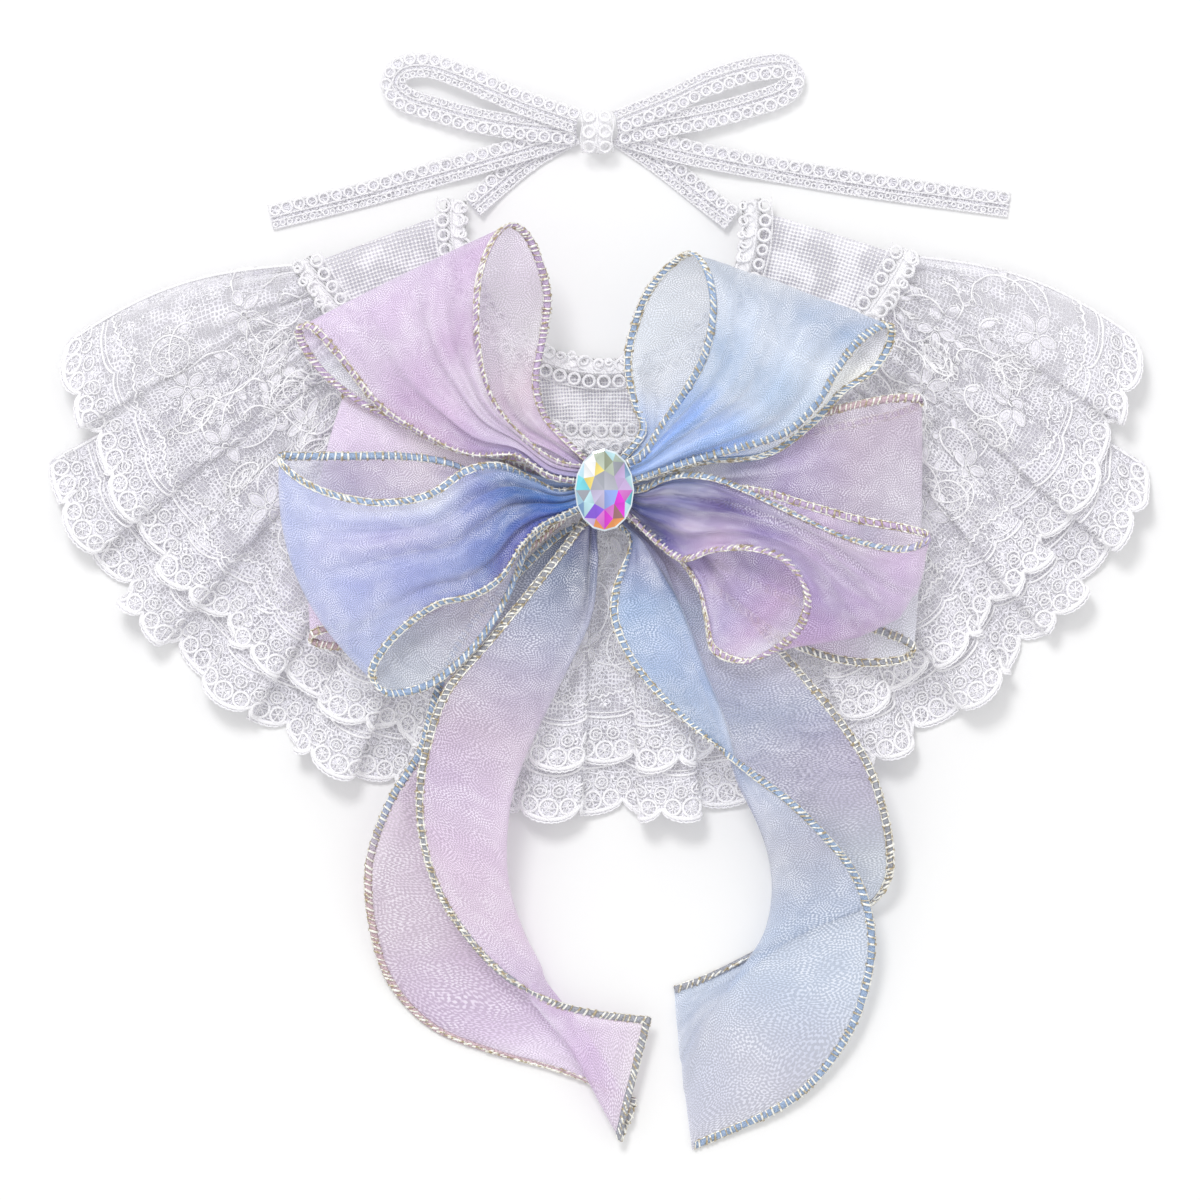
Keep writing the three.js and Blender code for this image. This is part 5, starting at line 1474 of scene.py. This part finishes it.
def wiredEdge(edge, inner, normals, dyes, draw):
    # a flat cord blended from the first dye to the second along the ribbon's edge, a gold thread on each
    # side of it and gold turns round it, at uneven steps and of uneven thickness
    inward = unit(inner - edge)
    half = edgeLook["half"]
    line = edge + inward * half * edgeLook["in"]
    walked = lengthsAlong(line)
    whole = walked[-1]
    at = np.arange(0, whole, edgeLook["step"])
    line, inward, up = (sampled(data, walked, at) for data in (line, inward, normals))
    inward, up = unit(inward), unit(up)
    cord = tubes(line, up, half * edgeLook["cord"], 6, flat=edgeLook["cordFlat"], turn=0)
    first, second = (linear(*wireDye[name]) for name in dyes)
    dyed = mix(first, second, ramp(at / at[-1], *edgeLook["blend"])[:, None])
    cord["tint"] = withShare(np.repeat(dyed, 6, axis=0), 1.0)
    parts = [cord]
    for off in (-edgeLook["goldOut"], edgeLook["goldOut"]):
        bend = edgeLook["goldWave"] * np.sin(fullTurn * at / edgeLook["goldPitch"] + draw.uniform(0, 6))
        gold = line + inward * half * (off + bend[:, None]) + up * edgeLook["goldLift"]
        parts.append(tubes(gold, up, draw.uniform(*edgeLook["goldThread"], len(at)), slot=1))
    turnsAt = np.cumsum(draw.uniform(*edgeLook["turns"], int(whole / edgeLook["turns"][0])))
    turnsAt = turnsAt[turnsAt < whole - 0.5]
    middle, inward, up = (sampled(data, at, turnsAt)[:, None] for data in (line, inward, up))
    along = unit(np.cross(up, inward))
    q = (np.arange(10) * fullTurn / 10)[None, :, None]
    slant = draw.uniform(*edgeLook["slant"], (len(turnsAt), 1, 1))
    across = (inward * half * edgeLook["turnWide"] + along * slant) * np.cos(q)
    ring = middle + across + up * half * edgeLook["turnHigh"] * np.sin(q)
    thick = np.broadcast_to(draw.uniform(*edgeLook["turnThread"], (len(turnsAt), 1)), ring.shape[:2])
    parts.append(tubes(ring, np.broadcast_to(along, ring.shape), thick, closed=True, slot=1))
    return parts


def finishRibbon(name, spec, points, seed, fromKnot):
    across = np.linspace(0, 1, points.shape[1])
    along = lengthsAlong(points[:, points.shape[1] // 2])
    points, shade = pleated(points, across, seed, fromKnot)
    thick = np.broadcast_to(np.exp(-((fromKnot / ribbonLook["thickReach"]) ** 2))[:, None], shade.shape)
    colours, share = ribbonColours(spec["colours"], spec["patches"], along / along[-1], across, thick)
    # the pleats' painted shade and highlight darken and lighten the colours
    tint = withShare(colours * shade[..., None], share)
    uv = np.stack(np.broadcast_arrays(along[:, None], across * ribbonLook["natural"]), -1) / uvSize
    cloth = makePiece(name, [gridPart(points, uv, tint)], ["organza"], spec["node"])
    normals = gridNormals(points)
    draw = np.random.default_rng(seed + ribbonLook["edgeSeed"])
    parts = wiredEdge(points[:, 0], points[:, 1], normals[:, 0], spec["wires"][0], draw)
    parts += wiredEdge(points[:, -1], points[:, -2], normals[:, -1], spec["wires"][1], draw)
    if spec.get("stitchedEnd"):
        parts += wiredEdge(points[-1], points[-2], normals[-1], ("grey", "grey"), draw)
    edges = makePiece(name + "Wires", parts, ["wire", "gold"])


def makeLoops():
    # each loop is spanned between its edges: a + (b - a) w, with out and rise times 4 w (1 - w) away from
    # the knot and up
    t, w = np.linspace(0, 1, ribbonLook["steps"]), np.linspace(0, 1, ribbonLook["columns"])[:, None]
    swell = 4 * w * (1 - w)
    flat = np.array([1, 1, 0])
    for seed, (name, spec) in enumerate(ribbonLoops.items()):
        a, b, bow = np.split(smoothLine(spec["rows"], t), (3, 6), axis=1)
        away = unit(np.cross((b - a) * flat, level))
        inward = np.sum(away * ((a + b) / 2 - knotPlace) * flat, -1) < 0
        away = away * np.where(inward, -1, 1)[:, None]
        points = mix(a[:, None], b[:, None], w) + away[:, None] * bow[:, None, :1] * swell
        points = points + level * bow[:, None, 1:] * swell
        along = lengthsAlong(points[:, ribbonLook["columns"] // 2])
        fromKnot = np.minimum(along, along[-1] - along)
        finishRibbon(name, spec, points, ribbonLook["loopSeed"] + seed, fromKnot)


def makeTails():
    # each tail is a smooth surface through its four lines a, c, d and b
    t, w = (np.linspace(0, 1, ribbonLook[count]) for count in ("steps", "tailColumns"))
    for seed, (name, spec) in enumerate(ribbonTails.items()):
        lines = smoothLine(spec["rows"], t).reshape(-1, 4, 3).transpose(1, 0, 2)
        points = smoothLine(lines, w, centripetal=True).transpose(1, 0, 2)
        points[..., 2] = np.maximum(points[..., 2], ribbonLook["lowest"])
        finishRibbon(name, spec, points, ribbonLook["tailSeed"] + seed, lengthsAlong(points[:, 4]))


makeLoops()
makeTails()

# The post from its foot to its top: share of the height and share of the width
# shade: how far the painted shade darkens the pleats' hollows and lightens their tops
knot = {"half": (3.3, 4.3), "low": 5.9, "high": 19.0, "corners": 96, "pleats": ((11, 0.07), (23, 0.04)),
        "lean": 2, "shade": 0.15, "heights": (0, 0.02, 0.15, 0.35, 0.5, 0.65, 0.85, 0.97, 1, 1),
        "widths": (0.02, 0.9, 1.05, 1.0, 0.92, 1.0, 1.12, 1.05, 0.8, 0.02)}


def makeKnot():
    # the bound middle: an oval post with upright pleats, radius = oval (1 + 0.07 sin(11q + lean) + 0.04 sin
    # 23q), dished under the stone; its colour is darker in the pleats' hollows and lighter on their tops, as
    # painted shade and light
    q = np.linspace(0, fullTurn, knot["corners"] + 1)[:-1, None]
    h, wide = np.array(knot["heights"]), np.array(knot["widths"])
    (coarse, deep), (fine, shallow) = knot["pleats"]
    pleats = np.sin(coarse * q + knot["lean"] * h)
    out = wide * (1 + deep * pleats + shallow * np.sin(fine * q))
    halfX, halfY = knot["half"]
    x, y = knotPlace[0] + halfX * out * np.cos(q), knotPlace[1] + halfY * out * np.sin(q)
    points = np.stack([x, y, mix(knot["low"], knot["high"], h) + 0 * q], -1)
    shade = (1 - knot["shade"] + knot["shade"] * pleats)[..., None] * linear(*shownColours["knotBlue"])
    part = gridPart(points, tint=withShare(shade, organzaLook["dense"]), closeRows=True)
    makePiece("boundKnot", [part], ["organza"], "bow_knot")
    print("bow knot bound")


makeKnot()

# The stone's painted reflections: a colour for each facet, from the right and then upwards
gemReflections = {
    "white": (252, 254, 255), "cyan": (120, 220, 232), "aqua": (188, 228, 236), "olive": (156, 166, 140),
    "sage": (190, 202, 184), "yellow": (238, 216, 116), "grey": (160, 164, 174), "violet": (138, 84, 226),
    "lilac": (202, 176, 222), "magenta": (232, 40, 222), "pink": (220, 116, 210), "orange": (246, 156, 84),
    "maroon": (160, 108, 112), "blue": (142, 164, 230), "steel": (132, 166, 194), "table": (180, 182, 194),
    "mauve": (190, 182, 212),
}

gem = {
    "centre": (1.4, 24.2), "width": 13.0, "length": 18.0, "base": 19.35, "girdleLow": 0.9, "girdleHigh": 1.25,
    "crown": 3.6, "table": 0.47, "tableRise": 0.05, "shoulder": 0.75, "shoulderAt": 0.56, "rim": 0.955,
    "rimRise": 0.12, "back": 0.93, "rimColour": (222, 234, 242), "sparkle": 0.22, "seed": 77,
    "tableFacets": ("table", "table", "grey", "table", "mauve", "mauve", "blue", "blue"),
    "stars": ("lilac", "sage", "yellow", "yellow", "aqua", "violet", "pink", "magenta"),
    "kites": ("pink", "lilac", "lilac", "grey", "olive", "sage", "white", "white",
              "cyan", "grey", "aqua", "violet", "pink", "magenta", "maroon", "magenta"),
    "girdle": ("aqua", "steel", "sage", "aqua", "sage", "white", "aqua", "cyan",
               "aqua", "steel", "lilac", "orange", "orange", "orange", "aqua", "cyan"),
}


def makeGem():
    # an oval brilliant: table of 8, 8 star facets, 8 kites split down the middle, 16 girdle facets, polished
    # rim, girdle and flat back, each facet coloured with painted reflections and the lower bands darker as
    # painted shade; the colour of each corner is a little lighter or darker than its facet's, as painted
    # sparkle
    draw = np.random.default_rng(gem["seed"])

    def ring(share, high, count, turn=0.0):
        q = (np.arange(count) + turn) * fullTurn / count
        x = gem["centre"][0] + gem["width"] / 2 * share * np.cos(q)
        y = gem["centre"][1] + gem["length"] / 2 * share * np.sin(q)
        return np.stack([x, y, np.full(count, gem["base"] + high)], -1)

    table = ring(gem["table"], gem["crown"], 8)
    shoulder = ring(gem["shoulder"], mix(gem["girdleHigh"], gem["crown"], gem["shoulderAt"]), 8, 0.5)
    upper = ring(gem["rim"], gem["girdleHigh"] + gem["rimRise"], 16)
    rim = ring(1.0, gem["girdleHigh"], 16)
    lower = ring(1.0, gem["girdleLow"], 16)
    back = ring(gem["back"], 0.0, 16)
    middle = np.array([*gem["centre"], gem["base"] + gem["crown"] + gem["tableRise"]])
    kinds = ("tableFacets", "stars", "kites", "girdle")
    faces, stars, kites, girdle = ([linear(*gemReflections[name]) for name in gem[kind]] for kind in kinds)
    rimColour = linear(*gem["rimColour"])
    facets = []
    for k in range(8):
        n, even, odd = (k + 1) % 8, 2 * k, 2 * k + 1
        facets.append(([middle, table[k], table[n]], faces[k]))
        facets.append(([table[k], shoulder[k], table[n]], stars[k]))
        facets.append(([table[k], shoulder[k - 1], upper[even]], kites[even]))
        facets.append(([table[k], upper[even], shoulder[k]], kites[odd]))
        facets.append(([shoulder[k], upper[even], upper[odd]], girdle[even]))
        facets.append(([shoulder[k], upper[odd], upper[(odd + 1) % 16]], girdle[odd]))
    for k in range(16):
        n = (k + 1) % 16
        facets.append(([upper[k], rim[k], rim[n], upper[n]], rimColour))
        facets.append(([rim[k], lower[k], lower[n], rim[n]], rimColour * 0.8))
        facets.append(([lower[k], back[k], back[n], lower[n]], girdle[k] * 0.7))
    facets.append((list(back[::-1]), linear(*gemReflections["grey"])))
    parts = []
    for corners, colour in facets:
        tint = np.clip(colour * (1 + draw.uniform(-1, 1, (len(corners), 1)) * gem["sparkle"]), 0, 1)
        face = np.arange(len(corners))[None]
        parts.append({"points": np.array(corners), "faces": face, "tint": withShare(tint, 1.0)})
    makePiece("cutCrystal", parts, ["crystal"], "gem_stone", smooth=False)
    print("crystal cut:", len(facets), "facets")


makeGem()

# Floor, light and camera: straight down, with the light from the upper left
studio = {"pixel": 0.22, "side": 1200, "middle": (598, 601), "distance": 2600.0, "sensor": 36.0,
          "clipEnd": 20.0, "floor": linear(245, 245, 245), "floorReach": 3.0, "floorLow": 0.0002,
          "world": 0.86, "key": 19.0, "keyAt": (-450, 1150, 2000), "keySize": 700.0}


def addObject(name, data, place):
    # links a new object at a place in metres
    thing = bpy.data.objects.new(name, data)
    thing.location = place
    bpy.context.scene.collection.objects.link(thing)
    return thing


def makeStudio():
    # a white sheet of paper, soft white light all round, a lamp like a window and a camera looking straight
    # down
    scene, reach = bpy.context.scene, studio["floorReach"]
    paper = bpy.data.meshes.new("floor")
    corners = [(-reach, -reach, 0), (reach, -reach, 0), (reach, reach, 0), (-reach, reach, 0)]
    paper.from_pydata(corners, [], [(0, 1, 2, 3)])
    material, _, shader = startMaterial("paperFloor", 0.95, Specular_IOR_Level=0.0)
    shader.inputs["Base Color"].default_value = (*studio["floor"], 1)
    paper.materials.append(material)
    addObject("floor", paper, (0, 0, -studio["floorLow"]))
    world = bpy.data.worlds.new("softWhite")
    world.use_nodes = True
    background = world.node_tree.nodes["Background"].inputs
    background["Color"].default_value = (1, 1, 1, 1)
    background["Strength"].default_value = studio["world"]
    scene.world = world
    lamp = bpy.data.lights.new("window", "AREA")
    lamp.shape = "DISK"
    lamp.size = studio["keySize"] * mm
    lamp.energy = studio["key"]
    spot = np.array(studio["keyAt"]) * mm
    light = addObject("window", lamp, spot)
    light.rotation_euler = (-Vector(spot)).to_track_quat("-Z", "Y").to_euler()
    camera = bpy.data.cameras.new("camera")
    camera.sensor_width = studio["sensor"]
    camera.lens = studio["sensor"] * studio["distance"] / (studio["pixel"] * studio["side"])
    camera.clip_end = studio["clipEnd"]
    half, pixel = studio["side"] / 2, studio["pixel"] * mm
    across, down = studio["middle"]
    eye = ((half - across) * pixel, (down - half) * pixel, studio["distance"] * mm)
    scene.camera = addObject("camera", camera, eye)
    scene.view_settings.view_transform = "Standard"
    print("studio lit")


makeStudio()
